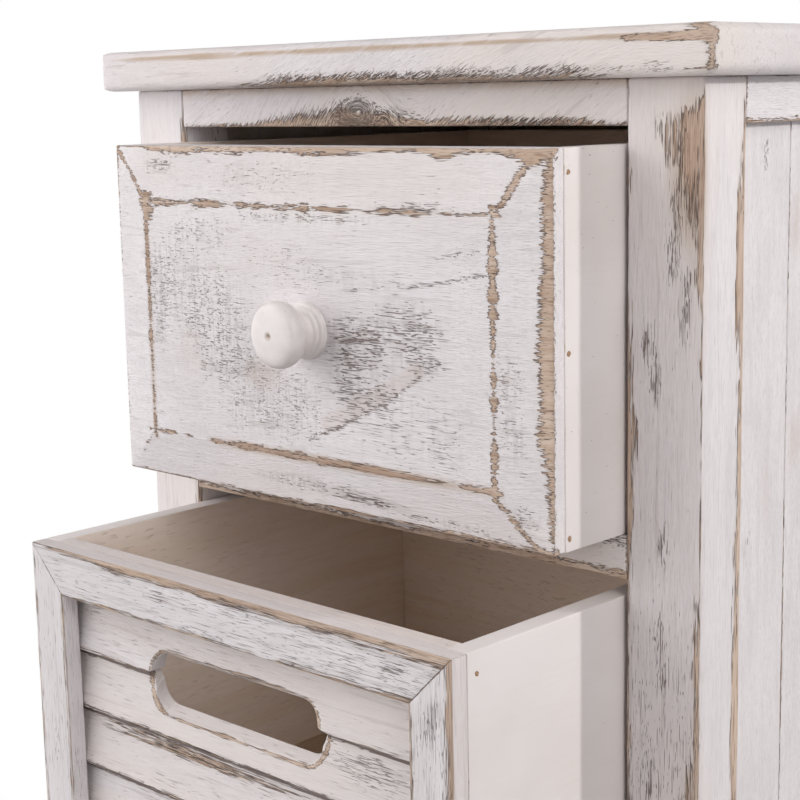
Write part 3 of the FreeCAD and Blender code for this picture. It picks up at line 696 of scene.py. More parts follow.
def make_front_posts():
    places = np.arange(0, 980, 35)
    low_wear = tuple(zip(places, 2 * wave(places / 70, 11)))
    right = Board("front_right_post", (HALF_OPENING, 0, 0), (HALF_WIDTH, POST_DEPTH, POST_TOP), "z",
                  1.2, (2.4, 3, 4))
    left = Board("front_left_post", (-HALF_WIDTH, 0, 0), (-HALF_OPENING, POST_DEPTH, POST_TOP), "z",
                 1.2, (2.8, 3, 4.5))
    for post in (right, left):
        post.grain[:, 0] *= 0.4
        post.all_arrises()
    right.arris("-y +x", low_wear + POST_OUTER, -0.9, 0.5, 9, None, 1.5)
    right.arris("-y -x", low_wear + POST_INNER, None, 0.6, 12)
    right.arris("+x +y", low_wear + POST_REAR, None, 0.3, 15, 1.8)
    front = right.face("-y") < 2
    # Dark grain on the post's front, denser low down; the extra marks there are partly painted
    # shade, darkening the post towards the bottom.
    grain_and_shade_share = np.interp(right.box_points[:, 2], (1030, 1120), (0.54, 0.14))
    right.dash = np.where(front, grain_and_shade_share, 0.02)
    right.stain_and_shade = np.where(front, 0.13, 0)
    right.tan_spot((156, 0, 1236), (16, 3, 40), 0.9)
    for x, height, half in POST_DASHES:
        right.dashes((x, 0, height), (4.5, 8, half), 0.86)
    right.scattered(18, (7, 40), "z", 0.7)
    left.arris("-y +x", ((0, 1), (1050, 0.8), (1228, 0.6), (1236, 1.8), (1248, 1.6), (1256, 0.3),
                         (1270, 0.1)), None, 0.3, 8)
    left.dash[:] = 0.12
    left.scattered(16, (9, 50), "z", 0.6)
    make_piece("front_right_post", [right], "whitewashed_wood", WHITE)
    make_piece("front_left_post", [left], "whitewashed_wood", WHITE)


def make_rear_posts():
    """Rear posts, each of three boards round the rebate for the back panel."""
    step = HALF_OPENING + REBATE
    for side in ("right", "left"):
        name = f"rear_{side}_post"
        boards = [
            Board(name, (step, REAR_POST, 0), (HALF_WIDTH, DEPTH, POST_TOP), "z", 1,
                  (4, 4, 7)),
            Board(name + "_inner", (HALF_OPENING, REAR_POST, 0), (step, BACK_PANEL, POST_TOP), "z",
                  0.5, (4, 4, 9)),
            Board(name + "_foot", (HALF_OPENING, BACK_PANEL, 0), (step, DEPTH, LOW_RAIL - GLUE),
                  "z", 0.5, (4, 2, 7)),
        ]
        for board in boards:
            board.all_arrises(0.2, 0.8).scattered(12, (8, 45), "z", 0.8)
            if side == "left":
                mirrored(board)
        make_piece(name, boards, "whitewashed_wood", WHITE)


def front_rail(name, low, high, radius, step):
    ends = (-HALF_OPENING, 0, low), (HALF_OPENING, RAIL_DEPTH, high)
    return Board(name, *ends, "x", radius, step)


def make_front_rails():
    rail = front_rail("top_front_rail", POST_TOP - RAIL, POST_TOP, 0.9, (2.5, 3, 1.5))
    rail.all_arrises(-0.25, 0.4, 5)
    rail.slanted((-126, 0.2), (-90, 0.9), (-40, 1.5), (-22, 0.8), (-12, 0), (0, -0.8), (14, -0.7),
                 (26, 0.7), (70, 0.8), (126, 0.5))
    rail.arris("-y -z", ((-126, -0.4), (-95, 0), (-80, 1), (-60, 3.2), (-38, 5), (-14, 6.5),
                         (6, 4.6), (30, 2.8), (55, 2.8), (80, 1.8), (108, 1.8), (122, 0.6),
                         (126, 0.2)), None, 0.8, 7, 4.5)
    rail.dashes((-18, 0, 1256.5), (72, 8, 8), 1).dashes((75, 0, 1254), (60, 8, 4), 1.1)
    rail.dashes((-14, 0, 1260), (26, 8, 8), 1)
    rail.knot((-12, 0, 1258.5), 4.5)
    rail.scattered(8, (5, 35), "x", 0.5)
    # Painted shade: a warm tan that fades down from the rail's top, under the top board's overhang.
    rail.stain_and_shade = np.clip(0.9 - rail.face("+z") / 5, 0.07, 1)
    make_piece("top_front_rail", [rail], "whitewashed_wood", WHITE)
    between = []
    for row in DRAWERS[:-1]:
        top = FLOOR_LINE + row * PITCH
        rail = front_rail(f"between_{row}", top - RAIL, top, 1, (3, 3, 2))
        rail.all_arrises(-0.2, 0.5)
        rail.arris("-y -z", 2.6, None, 1, 30)
        rail.arris("-y -x", 0.2, None, 0.5, 6).arris("-y +x", 0.3, None, 0.5, 6)
        rail.scattered(9, (4, 32), "x", 0.85)
        between.append(rail)
    make_piece("drawer_rails", between, "whitewashed_wood", WHITE)
    rail = front_rail("bottom_front_rail", LOW_RAIL, FLOOR_LINE, 1.2, (3, 3, 2))
    rail.all_arrises(0.2, 0.7).arris("-y -z", 2.4, None, 1.4, 34)
    rail.scattered(14, (6, 40), "x", 0.85)
    make_piece("bottom_front_rail", [rail], "whitewashed_wood", WHITE)


def make_side_and_back_rails():
    sides, backs = [], []
    spans = ((LOW_RAIL, FLOOR_LINE), (POST_TOP - RAIL, POST_TOP))
    for _, sign, outer, _ in SIDES:
        x = sorted((sign * HALF_WIDTH, sign * (HALF_WIDTH - SIDE_RAIL)))
        for a, b in spans:
            rail = Board(f"side_rail_{sign}_{a}", (x[0], POST_DEPTH, a), (x[1], REAR_POST, b), "y",
                         1, (3, 4, 2))
            rail.all_arrises(-0.3, 0.4, 8)
            rail.arris(outer + (" +z" if a == LOW_RAIL else " -z"), 1.3, None, 0.6, 35)
            rail.dash[:] = 0
            rail.scattered(8, (5, 36), "y", 0.4)
            sides.append(rail)
    make_piece("side_rails", sides, "whitewashed_wood", COOL)
    for a, b in spans:
        low, high = (-HALF_OPENING, BACK_PANEL - RUNNER, a), (HALF_OPENING, BACK_PANEL, b)
        backs.append(Board(f"back_rail_{a}", low, high, "x", 0.8, (9, 5, 5)))
    make_piece("back_rails", backs, "plain_wood", INSIDE)


def make_planks():
    pitch = (REAR_POST - POST_DEPTH) / 5
    for side, sign, outer, inner in SIDES:
        planks = []
        x = sorted((sign * PLANK_INNER, sign * PLANK_OUTER))
        for i in range(5):
            start = POST_DEPTH + i * pitch + GLUE / 2 - (TONGUE if i == 0 else 0)
            end = POST_DEPTH + (i + 1) * pitch - GLUE / 2 + (TONGUE if i == 4 else 0)
            plank = Board(f"{side}_plank_{i}", (x[0], start, PLANK_LOW), (x[1], end, PLANK_HIGH),
                          "z", 0.8, (3, 4.5, 6))
            plank.arris(f"{outer} -y", 0.05, None, 0.35, 40, 0.9)
            plank.arris(f"{outer} +y", 0, None, 0.35, 40, 0.9)
            plank.dash[:] = 0
            plank.scattered(9, (4, 26), "z", 0.5)
            places = np.random.default_rng(plank.seed + 5)
            for _ in range(5):
                y, z = start + places.random() * pitch, 100 + places.random() * 1130
                plank.tan_spot((0, y, z), (ANY, 6, 24), 0.16)
            if side == "right" and i == 1:
                plank.tan_spot((0, 70, 1214), (ANY, 4, 16), 0.4)
                plank.tan_spot((0, 73, 1128), (ANY, 5, 14), 0.4)
            if side == "right" and i == 0:
                plank.dashes((0, 48, 1240), (ANY, 3, 12), 0.9)
                plank.dashes((0, 39, 1094), (ANY, 2.5, 12), 1)
            planks.append(plank.painted_inside(inner))
        make_piece(f"{side}_side_planks", planks, "whitewashed_wood", COOL, INSIDE)


def make_back():
    half = HALF_OPENING + REBATE - GLUE
    sheet = Board("back_panel", (-half, BACK_PANEL, LOW_RAIL), (half, DEPTH, POST_TOP), "z", 0.5,
                  (9, 2, 12))
    places = [(x, z) for x in (4 - half, half - 4) for z in range(75, 1260, 98)]
    places += [(x, z) for z in (67, POST_TOP - 8) for x in (-66, 0, 66)]
    profile = [(-6, 0), (-6, 0.6), (-0.2, 0.6), (-0.2, 1.7), (0.15, 1.6), (0.3, 0.9), (0.3, 0)]
    nails = []
    for i, (x, z) in enumerate(places):
        nail = lathe(profile, 14, f"panel_nail_{i}", "y", (x, DEPTH - 0.1, z))
        nail.material[:] = 1
        nails.append(nail)
    make_piece("back_panel", [sheet] + nails, "plywood", PLY, STEEL)


def make_runners():
    """Runners with a stop block behind each drawer, and kickers over the first drawer."""
    last = len(DRAWERS)
    for side in ("right", "left"):
        pieces = []
        for row in range(last + 1):
            top = FLOOR_LINE + row * PITCH
            end = BACK_PANEL - RUNNER if row in (0, last) else BACK_PANEL
            low, high = (HALF_OPENING - RUNNER, RAIL_DEPTH, top - RAIL), (HALF_OPENING, end, top)
            pieces.append(Board(f"{side}_runner_{row}", low, high, "y", 0.8, (5, 9, 5)))
            if row < last:
                low = (HALF_OPENING - RUNNER, DRAWER_LENGTH + CLEARANCE, top)
                high = (HALF_OPENING, BACK_PANEL, top + STOP)
                pieces.append(Board(f"{side}_stop_{row}", low, high, "z", 0.8, (4, 4, 4)))
        if side == "left":
            pieces = [mirrored(piece) for piece in pieces]
        make_piece(f"{side}_runners", pieces, "plain_wood", INSIDE)


def screw_profile(head, shank, length):
    """A domed head and a threaded shank of these radii, from the head's crown to the point."""
    profile = [(-2, 0), (-1.95, 0.5 * head), (-1.6, 0.85 * head), (-1, head), (-0.1, head)]
    profile += [(0, 0.8 * head), (0, 0.85 * shank)]
    t = 1
    while t < length - 3.2:
        profile += [(t, 0.72 * shank), (t + 0.5, shank), (t + 0.75, 0.72 * shank)]
        t += 1.25
    return profile + [(length - 2.5, 0.7 * shank), (length - 0.1, 0.15), (length, 0)]


def make_screws():
    runner = []
    profile = screw_profile(3, 1.5, 25)
    x = HALF_OPENING - RUNNER
    for row in range(len(DRAWERS) + 1):
        z = FLOOR_LINE + row * PITCH - RAIL / 2
        for y in ((RAIL_DEPTH + POST_DEPTH) / 2, (REAR_POST + BACK_PANEL - RUNNER) / 2):
            runner.append(lathe(profile, 12, "screw", "x", (x, y, z)))
            runner.append(lathe(profile, 12, "screw", "-x", (-x, y, z)))
    make_piece("runner_screws", runner, "steel", STEEL)
    profile = screw_profile(3, 1.5, 28)
    tops = [lathe(profile, 12, "screw", "z", (x, y, POST_TOP - RAIL))
            for x in (-TOP_SCREW_X, TOP_SCREW_X)
            for y in (POST_DEPTH + TOP_SCREW_IN, REAR_POST - TOP_SCREW_IN)]
    make_piece("top_screws", tops, "steel", STEEL)
    start = (0, FIRST_BACK, KNOB_HEIGHT)
    screw = lathe(screw_profile(4, 2, 30), 16, "knob_screw", "-y", start)
    make_piece("drawer_1_knob_screw", [screw], "steel", STEEL)


# Drawers


def make_box(number, lip, front_back, pin_place, pin_heights):
    """The sides, back, bottom and nails of one drawer."""
    name = f"drawer_{number}"
    sides = []
    for _, sign, outer, inner in SIDES:
        x = sorted((sign * HALF_INSIDE, sign * HALF_DRAWER))
        low, high = (x[0], lip, 0), (x[1], DRAWER_LENGTH, DRAWER_HEIGHT)
        side = Board(f"{name}_side_{sign}", low, high, "y", 0.5, (3, 6, 6))
        side.arris(f"{outer} -y", 0, None, 0.4, 4)
        side.arris("+z -x", -0.2, None, 0.4, 18).arris("+z +x", -0.3, None, 0.4, 18)
        sides.append(side.painted_inside(inner))
    make_piece(f"{name}_sides", sides, "cream_painted_wood", CREAM, INSIDE)
    inside, rear = HALF_INSIDE - GLUE, DRAWER_LENGTH - BOARD
    back = Board(f"{name}_back", (-inside, rear, 0), (inside, DRAWER_LENGTH, DRAWER_HEIGHT), "x",
                 0.5, (6, 3, 6))
    make_piece(f"{name}_back", [back], "plain_wood", INSIDE)
    reach = HALF_INSIDE + GROOVE
    low, high = (-reach, front_back - GROOVE, BOTTOM_LOW), (reach, rear + GROOVE, BOTTOM_HIGH)
    bottom = Board(f"{name}_bottom", low, high, "y", 0.3, (8, 8, 2))
    make_piece(f"{name}_bottom", [bottom], "plywood", PLY)
    pins = []
    profile = [(0, 0), (0.8, 0.5), (2, 0.8), (21.4, 0.8), (21.6, 1.05), (PIN, 1.05),
               (22.5, 0.9), (22.48, 0.5), (22.45, 0)]
    start = HALF_DRAWER - PIN
    places = [(pin_place, z) for z in pin_heights]
    places += [(rear + BOARD / 2, z) for z in FIRST_PINS]
    for i, (y, z) in enumerate(places):
        pins.append(lathe(profile, 14, f"{name}_pin_{i}", "x", (start, y, z), 0.45))
        pins.append(lathe(profile, 14, f"{name}_pin_left_{i}", "-x", (-start, y, z), 0.45))
    make_piece(f"{name}_pins", pins, "steel", FILLER)


def field_height(x, z):
    """How far the first front stands proud: bevels up to a flat field with softened arrises."""
    (left, right), (low, high) = FIELD
    rise = np.minimum.reduce((
        (x + HALF_DRAWER) / (left + HALF_DRAWER), (HALF_DRAWER - x) / (HALF_DRAWER - right),
        z / low, (DRAWER_HEIGHT - z) / (DRAWER_HEIGHT - high)))
    soft = 0.04
    return RAISE * (1 - np.log1p(np.exp(np.clip((1 - rise) / soft, -40, 40))) * soft)


FIRST_PINS = (137.5, 73, 5)
LOUVRE_PINS = (137.5, 86, 60, 34)
# Bare wood on the first front's arrises and along the lines of its field, as (place, width).
FIRST_TOP = ((-124, -0.3), (-105, 0.2), (-96, 2.4), (-80, 3.4), (-60, 2.6), (-24, 1.8), (14, 2.6),
             (50, 2.2), (62, 1.6), (70, 3.2), (76, 3.2), (80, 1.4), (100, 1.4), (108, 3.2),
             (113, 5.4), (118, 5), (124, 2.4))
FIRST_RIGHT = ((0, 1), (16, 1.8), (24, 3), (34, 4.2), (44, 6.6), (51, 5.6), (65, 5.2), (72, 7),
               (79, 6), (85, 5.6), (99, 4.6), (115, 4.2), (126, 3.6), (140, 2.8), (146, 2.8))
FIRST_BOTTOM = ((-124, 0.4), (-60, 0.5), (0, 0.8), (60, 1.2), (124, 1.8))
FIRST_LEFT = ((0, 0.2), (100, 0.2), (130, 0.8), (146, 1.4))
FIELD_TOP = ((-102, 2.6), (-70, 2.4), (-40, 1.9), (-12, 1.7), (30, 1.4), (60, 1), (75, 1.2),
             (88, 1.8), (99, 2.4))
FIELD_RIGHT = ((20, 2.6), (32, 2.2), (50, 1.6), (57, 2.3), (61, 1.6), (64, 0.2), (68, 1.4),
               (72, 2.4), (100, 3), (104, 3.2), (112, 3.4), (118, 2.4), (122, 2.4))
FIELD_LEFT = ((18, 2), (28, 0.8), (42, 1.4), (60, 1.9), (75, 1.4), (102, 2.2), (112, 3),
              (122, 3.2))
FIELD_BOTTOM = ((-102, 0.4), (-66, -0.3), (-57, 1.5), (-38, 2.4), (-22, 1.8), (2, 2.6), (27, 2.4),
                (48, 2), (57, 0.6), (74, 0.1), (93, 0.9), (99, 2))
FIELD_CORNERS = (
    (((124, 146), (113, 140), (108.6, 135), (99, 122)), 1.7),
    (((-124, 146), (-114, 136), (-102, 122)), 0.9),
    (((96, 20.5), (101.6, 15.2), (108, 9), (116, 2), (124, 0)), 1.9),
    (((-102, 20), (-112, 10)), 0.4),
)
# Clusters of dark grain on the first front: centre, half size and amount.
FIRST_DASHES = (
    ((30, 68), (30, 21), 0.80), ((26, 54), (22, 19), 0.78), ((55, 77), (30, 18), 0.74),
    ((62, 66), (18, 10), 0.75), ((-62, 78), (44, 30), 0.58), ((-48, 60), (38, 26), 0.60),
    ((-18, 42), (46, 26), 0.56), ((-82, 92), (32, 24), 0.58), ((-66, 108), (40, 16), 0.48),
    ((-10, 98), (50, 14), 0.40), ((-40, 36), (24, 16), 0.48), ((36, 46), (26, 5), 0.62),
    ((44, 52), (14, 7), 0.70), ((60, 62), (12, 5), 0.62), ((-95, 80), (12, 40), 0.55),
    ((20, 96), (70, 8), 0.42), ((106, 62), (10, 18), 0.50), ((60, 40), (44, 26), 0.42),
    ((106, 42), (10, 18), 0.52), ((112, 12), (9, 10), 0.66), ((0, 9), (60, 5), 0.62),
    ((30, 7), (36, 3), 0.95), ((70, 4), (50, 3), 0.7), ((-92, 138), (16, 5), 0.7),
    ((-30, 134), (60, 10), 0.40), ((60, 124), (40, 3), 0.62), ((0, 118), (70, 3), 0.6),
)
CRACKS = (
    (((72, 66), (54.6, 55.6), (45, 49.4), (33.6, 43.6), (17, 35.5), (0, 28.5)), 0.5),
    (((100, 101.6), (84, 98.5), (66, 95.3), (20, 90.3)), 0.2),
    (((70, 105), (80, 107), (92, 109)), 0.2),
)


def make_first_front():
    """A board with a raised field, and a core behind it that goes between the drawer's sides."""
    (left, right), (low, high) = FIELD
    lines = [[edge + off for edge in pair for off in (-1, 0, 1)] for pair in FIELD]
    lip = Board("panel", (-HALF_DRAWER, 0, 0), (HALF_DRAWER, FIRST_LIP, DRAWER_HEIGHT), "x", 0.9,
                (1.25, 2.2, 1.25), (lines[0], (), lines[1]))
    p = lip.box_points
    x, z = p[:, 0], p[:, 2]
    lip.points[:, 1] -= np.maximum(field_height(x, z), 0) * (1 - p[:, 1] / FIRST_LIP)
    front = p[:, 1] < 3
    lip.all_arrises(-0.3, 0.4)
    lip.arris("-y +z", FIRST_TOP, -0.5, 0.4, 14)
    lip.arris("-y +x", FIRST_RIGHT, -0.6, 0.5, 8, 5)
    lip.arris("-y -z", FIRST_BOTTOM, None, 0.4, 18)
    lip.arris("-y -x", FIRST_LEFT, None, 0.3, 16)

    far = 99
    inside_x = (x > left - 4) & (x < right + 4)
    inside_z = (z > low - 4) & (z < high + 4)
    for inside, gap, s, table, share, sway, period, seed, soft in (
            (inside_x, z - high, x, FIELD_TOP, 0.26, 0.7, 5.5, 31, 3.2),
            (inside_z, x - right + 0.8, z, FIELD_RIGHT, 0.44, 0.9, 2.6, 32, 2.6),
            (inside_z, x - left - 0.6, z, FIELD_LEFT, 0.5, 0.6, 4, 33, None),
            (inside_x, z - low - 0.4, x, FIELD_BOTTOM, 0.5, 0.6, 6, 34, None)):
        width = share * by_place(s, table) + sway * wobble(s, period, seed)
        lip.rub(np.where(inside, np.abs(gap), far), width, soft, front)
    for path, width in FIELD_CORNERS:
        lip.rub(from_path(p, path), 0.6 * width + 0.4 * wobble(x, 3, 35), None, front)
    corner = np.clip(0.5 + 0.5 * blob(p, (-100.6, 0, 119.6), (3, ANY, 5)), 0, 1)
    lip.wear = np.where(front, np.maximum(lip.wear, corner), lip.wear)

    lip.grain[:, 0] -= 0.55 * np.clip(x - 8, 0, 70) / 1000
    lip.dash[:] = 0.12
    for centre, half, amount in FIRST_DASHES:
        lip.dashes((centre[0], 0, centre[1]), (half[0], ANY, half[1]), amount)
    for path, width in CRACKS:
        dark = 1.4 - from_path(p, path) / (1.4 * width + 0.5)
        dark = np.where(front, np.clip(dark, 0, 0.7 + 0.5 * width), 0)
        lip.dash = np.maximum(lip.dash, dark)

    crack = np.clip(0.5 - from_path(p, ((60, 62), (33, 47), (10, 36))) / 9, 0, 0.26)
    under = np.interp(x, (-66, -45, 60, 90), (0.2, 0.8, 0.8, 0.3))
    under = np.where(inside_x & (x > -66), 1.5 - np.abs(z - low - 0.2) / 1.8, 0) * under
    beside = np.where(inside_z, 0.5 * (1.4 - np.abs(x - left - 0.6) / 1.8), 0)
    tan = np.maximum(crack, np.clip(np.maximum(under, beside), 0, 0.8))
    lip.stain_and_shade = np.where(front, np.maximum(lip.stain_and_shade, tan), 0)
    lip.tan_spot((-28, 0, 52), (16, ANY, 9), 0.32).tan_spot((-74, 0, 58), (14, ANY, 14), 0.18)
    lip.tan_spot((-20, 0, 134), (130, ANY, 16), 0.14)

    inside = HALF_INSIDE - GLUE
    low, high = (-inside, FIRST_LIP - 0.2, 0), (inside, FIRST_BACK, DRAWER_HEIGHT)
    core = Board("panel_core", low, high, "x", 0.5, (6, 3, 6))
    pieces = [lip, core.painted_inside("+y")]
    make_piece("drawer_1_front", pieces, "whitewashed_wood", SAWN, INSIDE)


KNOB_PROFILE = (
    (0, 0), (0, 10.6), (0.5, 11.25), (1.4, 11.5), (2.3, 11.4), (2.8, 10.9), (3.05, 10.2),
    (3.3, 9.9), (3.6, 10.2), (4.2, 10.5), (4.9, 10.3), (5.3, 9.7), (5.6, 9.2), (6.4, 8.8),
    (7.6, 8.6), (8.8, 8.8), (9.7, 9.3), (10.5, 10.2), (11.2, 11.3), (12.2, 12.4), (13.4, 13.1),
    (14.9, 13.5), (16.6, 13.5), (18, 13.1), (19.2, 12.3), (20.1, 11), (20.7, 9), (21.1, 6.4),
    (21.35, 3.6), (21.35, 1.5), (21.1, 0.95), (20.6, 0.65), (20.2, 0),
)


def make_knob():
    start = (0, -RAISE, KNOB_HEIGHT)
    knob = lathe(smooth_profile(KNOB_PROFILE, 4), 72, "knob", "-y", start)
    t = knob.grain[:, 0] * 1000
    radius = np.hypot(knob.grain[:, 1], knob.grain[:, 2]) * 1000
    dimple = 0.9 * np.exp(-((radius / 1.5) ** 2)) + 0.34 * np.exp(-((radius / 4.6) ** 2))
    groove = 0.25 * np.exp(-((t - 3.4) / 0.3) ** 2)
    knob.wear = np.clip((t > 19) * dimple + groove, 0, 1)
    make_piece("drawer_1_knob", [knob], "knob_wood", KNOB)


# Bare wood on the outer arrises of the frames, plain and for the second drawer, and the second
# frame's clusters of dark grain: place along and across the bar, half sizes and amount.
FRAME_EDGES = {"top": 1.4, "bottom": 1.6, "left": 0.7, "right": 1}
SECOND_EDGES = FRAME_EDGES | {
    "top": ((0, 0.3), (20, 0.4), (34, 1.6), (60, 2.8), (110, 2.5), (150, 2.9), (200, 2.8),
            (236, 3.4), (248, 3.6)),
    "right": ((0, 2.4), (20, 3.2), (30, 2.2), (60, 1.6), (146, 1.2)),
}
SECOND_DASHES = {
    "top": ((54, 3, 14, 3.5, 0.86), (84, 9, 14, 4, 0.86), (136, 3.5, 22, 3, 0.86),
            (186, 3.5, 20, 3, 0.86), (172, 20, 16, 2, 0.86), (100, 19, 24, 2, 0.86),
            (228, 10, 16, 8, 0.75)),
    "right": ((18, 11, 18, 10, 0.80), (50, 3, 40, 4, 0.85)),
    "left": ((20.5, 10, 1.6, 10, 0.9),),
}


def frame_bars(number):
    """Four mitred bars in front of the slats."""
    width, height, thick = 2 * HALF_DRAWER, DRAWER_HEIGHT, FRAME_THICK
    edges, marks = (SECOND_EDGES, SECOND_DASHES) if number == 2 else (FRAME_EDGES, {})
    bars = []
    for name, length, axes, corner in (
            ("top", width, ("+x", "-z", "-y"), (-HALF_DRAWER, thick, height)),
            ("bottom", width, ("+x", "+z", "-y"), (-HALF_DRAWER, thick, 0)),
            ("left", height, ("-z", "+x", "-y"), (-HALF_DRAWER, thick, height)),
            ("right", height, ("-z", "-x", "-y"), (HALF_DRAWER, thick, height))):
        bar = Board(f"frame_{number}_{name}", (0, 0, 0), (length, FRAME_WIDE, thick), "x", 0.7,
                    (3, 2.2, 2.2))
        bar.grain *= (0.3, 1.4, 1.4)
        bar.all_arrises(-0.3, 0.4)
        bar.dash[:] = 0.5 if name == "top" else 0.36
        bar.scattered(10, (3.5, 26), "x", 0.75)
        bar.arris("+z -y", edges[name], -0.4, 0.7, 13)
        bar.arris("+z +y", 0.7, 0, 0.5, 12)
        for end in ("+z -x", "+z +x"):
            bar.arris(end, 0, None, 0.3, 6, 1.2)
        for u, v, a, b, amount in marks.get(name, ()):
            bar.dashes((u, v, thick), (a, b, ANY), amount)
        outside = bar.face("-y") < 0.2
        bar.stain_and_shade = np.where(outside, 0.24, 0)
        bar.dash = np.where(outside, 0.05, bar.dash)
        turned(mitred(bar), axes, corner)
        bars.append(bar)
    return bars


def slot_rim(x, upper):
    """Height of the finger slot's rim over each x, eased into the slat's own edge."""
    out = np.abs(x + SLOT_OFF_CENTRE)
    bend = np.clip(out - SLOT_HALF + SLOT_RADIUS, 0, SLOT_RADIUS)
    bend = np.sqrt(np.maximum(SLOT_RADIUS**2 - bend**2, 0))
    inner = SLOT_HIGH - SLOT_RADIUS + bend if upper else SLOT_LOW + SLOT_RADIUS - bend
    cut = np.where(out <= SLOT_HALF, np.abs(inner - SLOT_STEP), 0)
    reach, size = (6, 4) if upper else (3, 3.4)
    ease = np.clip((SLOT_HALF + 4 - out) / reach, 0, 1)
    ease = size * (1 - np.sqrt(np.maximum(1 - ease**2, 0)))
    cut = np.maximum(cut, np.where(out > SLOT_HALF - 2, ease, 0))
    return SLOT_STEP + cut if upper else SLOT_STEP - cut


def slats(number):
    """Four leaning slats behind the frame, the upper two cut by the finger slot."""
    turn = SLOT_HALF - SLOT_RADIUS + SLOT_RADIUS * np.sin(np.linspace(0, math.pi / 2, 9))
    turn = np.concatenate((turn, SLOT_HALF + np.array((0.03, 0.6, 1.2, 2, 3, 4))))
    turn = np.concatenate((-turn, turn)) - SLOT_OFF_CENTRE
    inside = HALF_INSIDE - GLUE
    made = []
    for i in range(4):
        upper, lower = SLAT_TOP - SLAT_PITCH * i, SLOT_STEP - SLAT_PITCH * i
        top = DRAWER_HEIGHT if i == 0 else upper
        foot = 0 if i == 3 else lower
        kink = (upper - 0.5, upper) if i == 0 else (lower, lower + 0.5) if i == 3 else ()
        marks = (turn if i < 2 else (), (8.6, 9.2, 10), kink)
        low, high = (-inside, FRAME_THICK, foot), (inside, LOUVRE_BACK, top)
        slat = Board(f"slat_{number}_{i}", low, high, "x", 0.35, (2.2, 1.4, 1.6), marks)
        p = slat.box_points
        depth = p[:, 1] - FRAME_THICK
        if i < 2:
            share = (p[:, 2] - foot) / (top - foot)
            rim = slot_rim(p[:, 0], i == 0)
            cut = np.clip(np.abs(rim - SLOT_STEP) / 4, 0, 1)
            if i == 0:
                rim = rim + cut * np.maximum(0, 1.2 - depth)
                z = rim + share * (top - rim)
            else:
                rim = rim - cut * (0.45 * (SLAT_THICK - depth) + 0.5 * np.maximum(0, 1.6 - depth))
                z = foot + share * (rim - foot)
            slat.points[:, 2] += z - p[:, 2]
            slat.grain[:, 2] += (z - p[:, 2]) / 1000
            slat.box_points = p = np.column_stack((p[:, :2], z))
        lean = np.clip((p[:, 2] - lower) / SLAT_PITCH, 0, 1)
        lean = np.where((i == 0) & (p[:, 2] > upper + 0.01), 0, lean)
        slat.points[:, 1] += SLAT_LEAN * lean * (1 - depth / SLAT_THICK)
        slat.grain *= (0.35, 1.3, 1.3)
        wear_slat(slat, number, i, upper, lower, depth)
        made.append(slat.painted_inside("+y"))
    return made


def wear_slat(slat, number, i, upper, lower, depth):
    """Painted shade: dark lines where a slat meets the next one and a dark spot in the corner at
    its left end; also a rubbed rim of the slot, and marks.
    """
    x, z = slat.box_points[:, 0], slat.box_points[:, 2]
    away = slot_distance(slat.box_points)
    in_front = depth < 1
    slat.dash[:] = 0.3
    slat.stain_and_shade[:] = 0.10
    slat.arris("-y -z", 0.2, None, 0.5, 20)
    slat.scattered(9, (2.6, 22), "x", 0.75)
    if i < 3:
        # Painted shade: dark marks along the slat's lower edge, where it overhangs the next slat.
        line = 1.2 * np.clip(1.5 - (z - lower), 0, 1) * in_front * (away > 2)
        slat.dash = np.maximum(slat.dash, line)
    if i > 0:
        # Painted shade: dark marks along the slat's top, under the overhang of the slat above, and
        # a dark spot where its left end meets the frame.
        under = upper - z
        line = 2.5 * np.clip(3.4 - under, 0, 1) * in_front * (away > 2)
        end = 1.9 * np.clip(1 - np.hypot((x + 101.5) / 4.5, under / 6), 0, 1) * in_front
        slat.dash = np.maximum(np.maximum(slat.dash, line), end)
    if i < 2:
        place, width = ((1, 0.1), (3.2, 0.5))[i]
        edge = np.maximum(np.abs(away - place), depth)
        slat.rub(edge, width + 0.8 * wave(x / 9, slat.seed), 1.4)
    if number == 2 and i == 0:
        slat.dash = np.minimum(slat.dash, 0.3)
        # A tan band over the first slat's visible top: partly its own tint, partly painted shade
        # under the frame's top bar.
        slat.tan_spot((-40, 8, 116), (120, ANY, 18), 0.28)
    if number == 2 and i == 1:
        slat.dashes((72, 8, 88), (36, ANY, 11), 0.74)
    if number == 2 and i == 2:
        slat.worn_spot((-34, 8, 67.3), (40, ANY, 1.6), 0.35)
        slat.dashes((-30, 8, 67), (48, ANY, 4), 0.88)
    if i == 0:
        slat.stain_and_shade = np.maximum(slat.stain_and_shade, np.where(z > DRAWER_HEIGHT - 0.2, 0.24, 0))


def make_louvred_front(number):
    node = f"drawer_{number}"
    make_piece(f"{node}_frame", frame_bars(number), "whitewashed_wood", COOL)
    make_piece(f"{node}_slats", slats(number), "whitewashed_wood", WHITE, INSIDE)


make_top()
make_front_posts()
make_rear_posts()
make_front_rails()
make_side_and_back_rails()
make_planks()
make_back()
make_runners()
make_screws()
make_first_front()
make_knob()
make_box(1, FIRST_LIP, FIRST_BACK, 8.7, FIRST_PINS)
for number in DRAWERS[1:]:
    make_box(number, FRAME_THICK, LOUVRE_BACK, 13, LOUVRE_PINS)
    make_louvred_front(number)

# Floor, light and camera


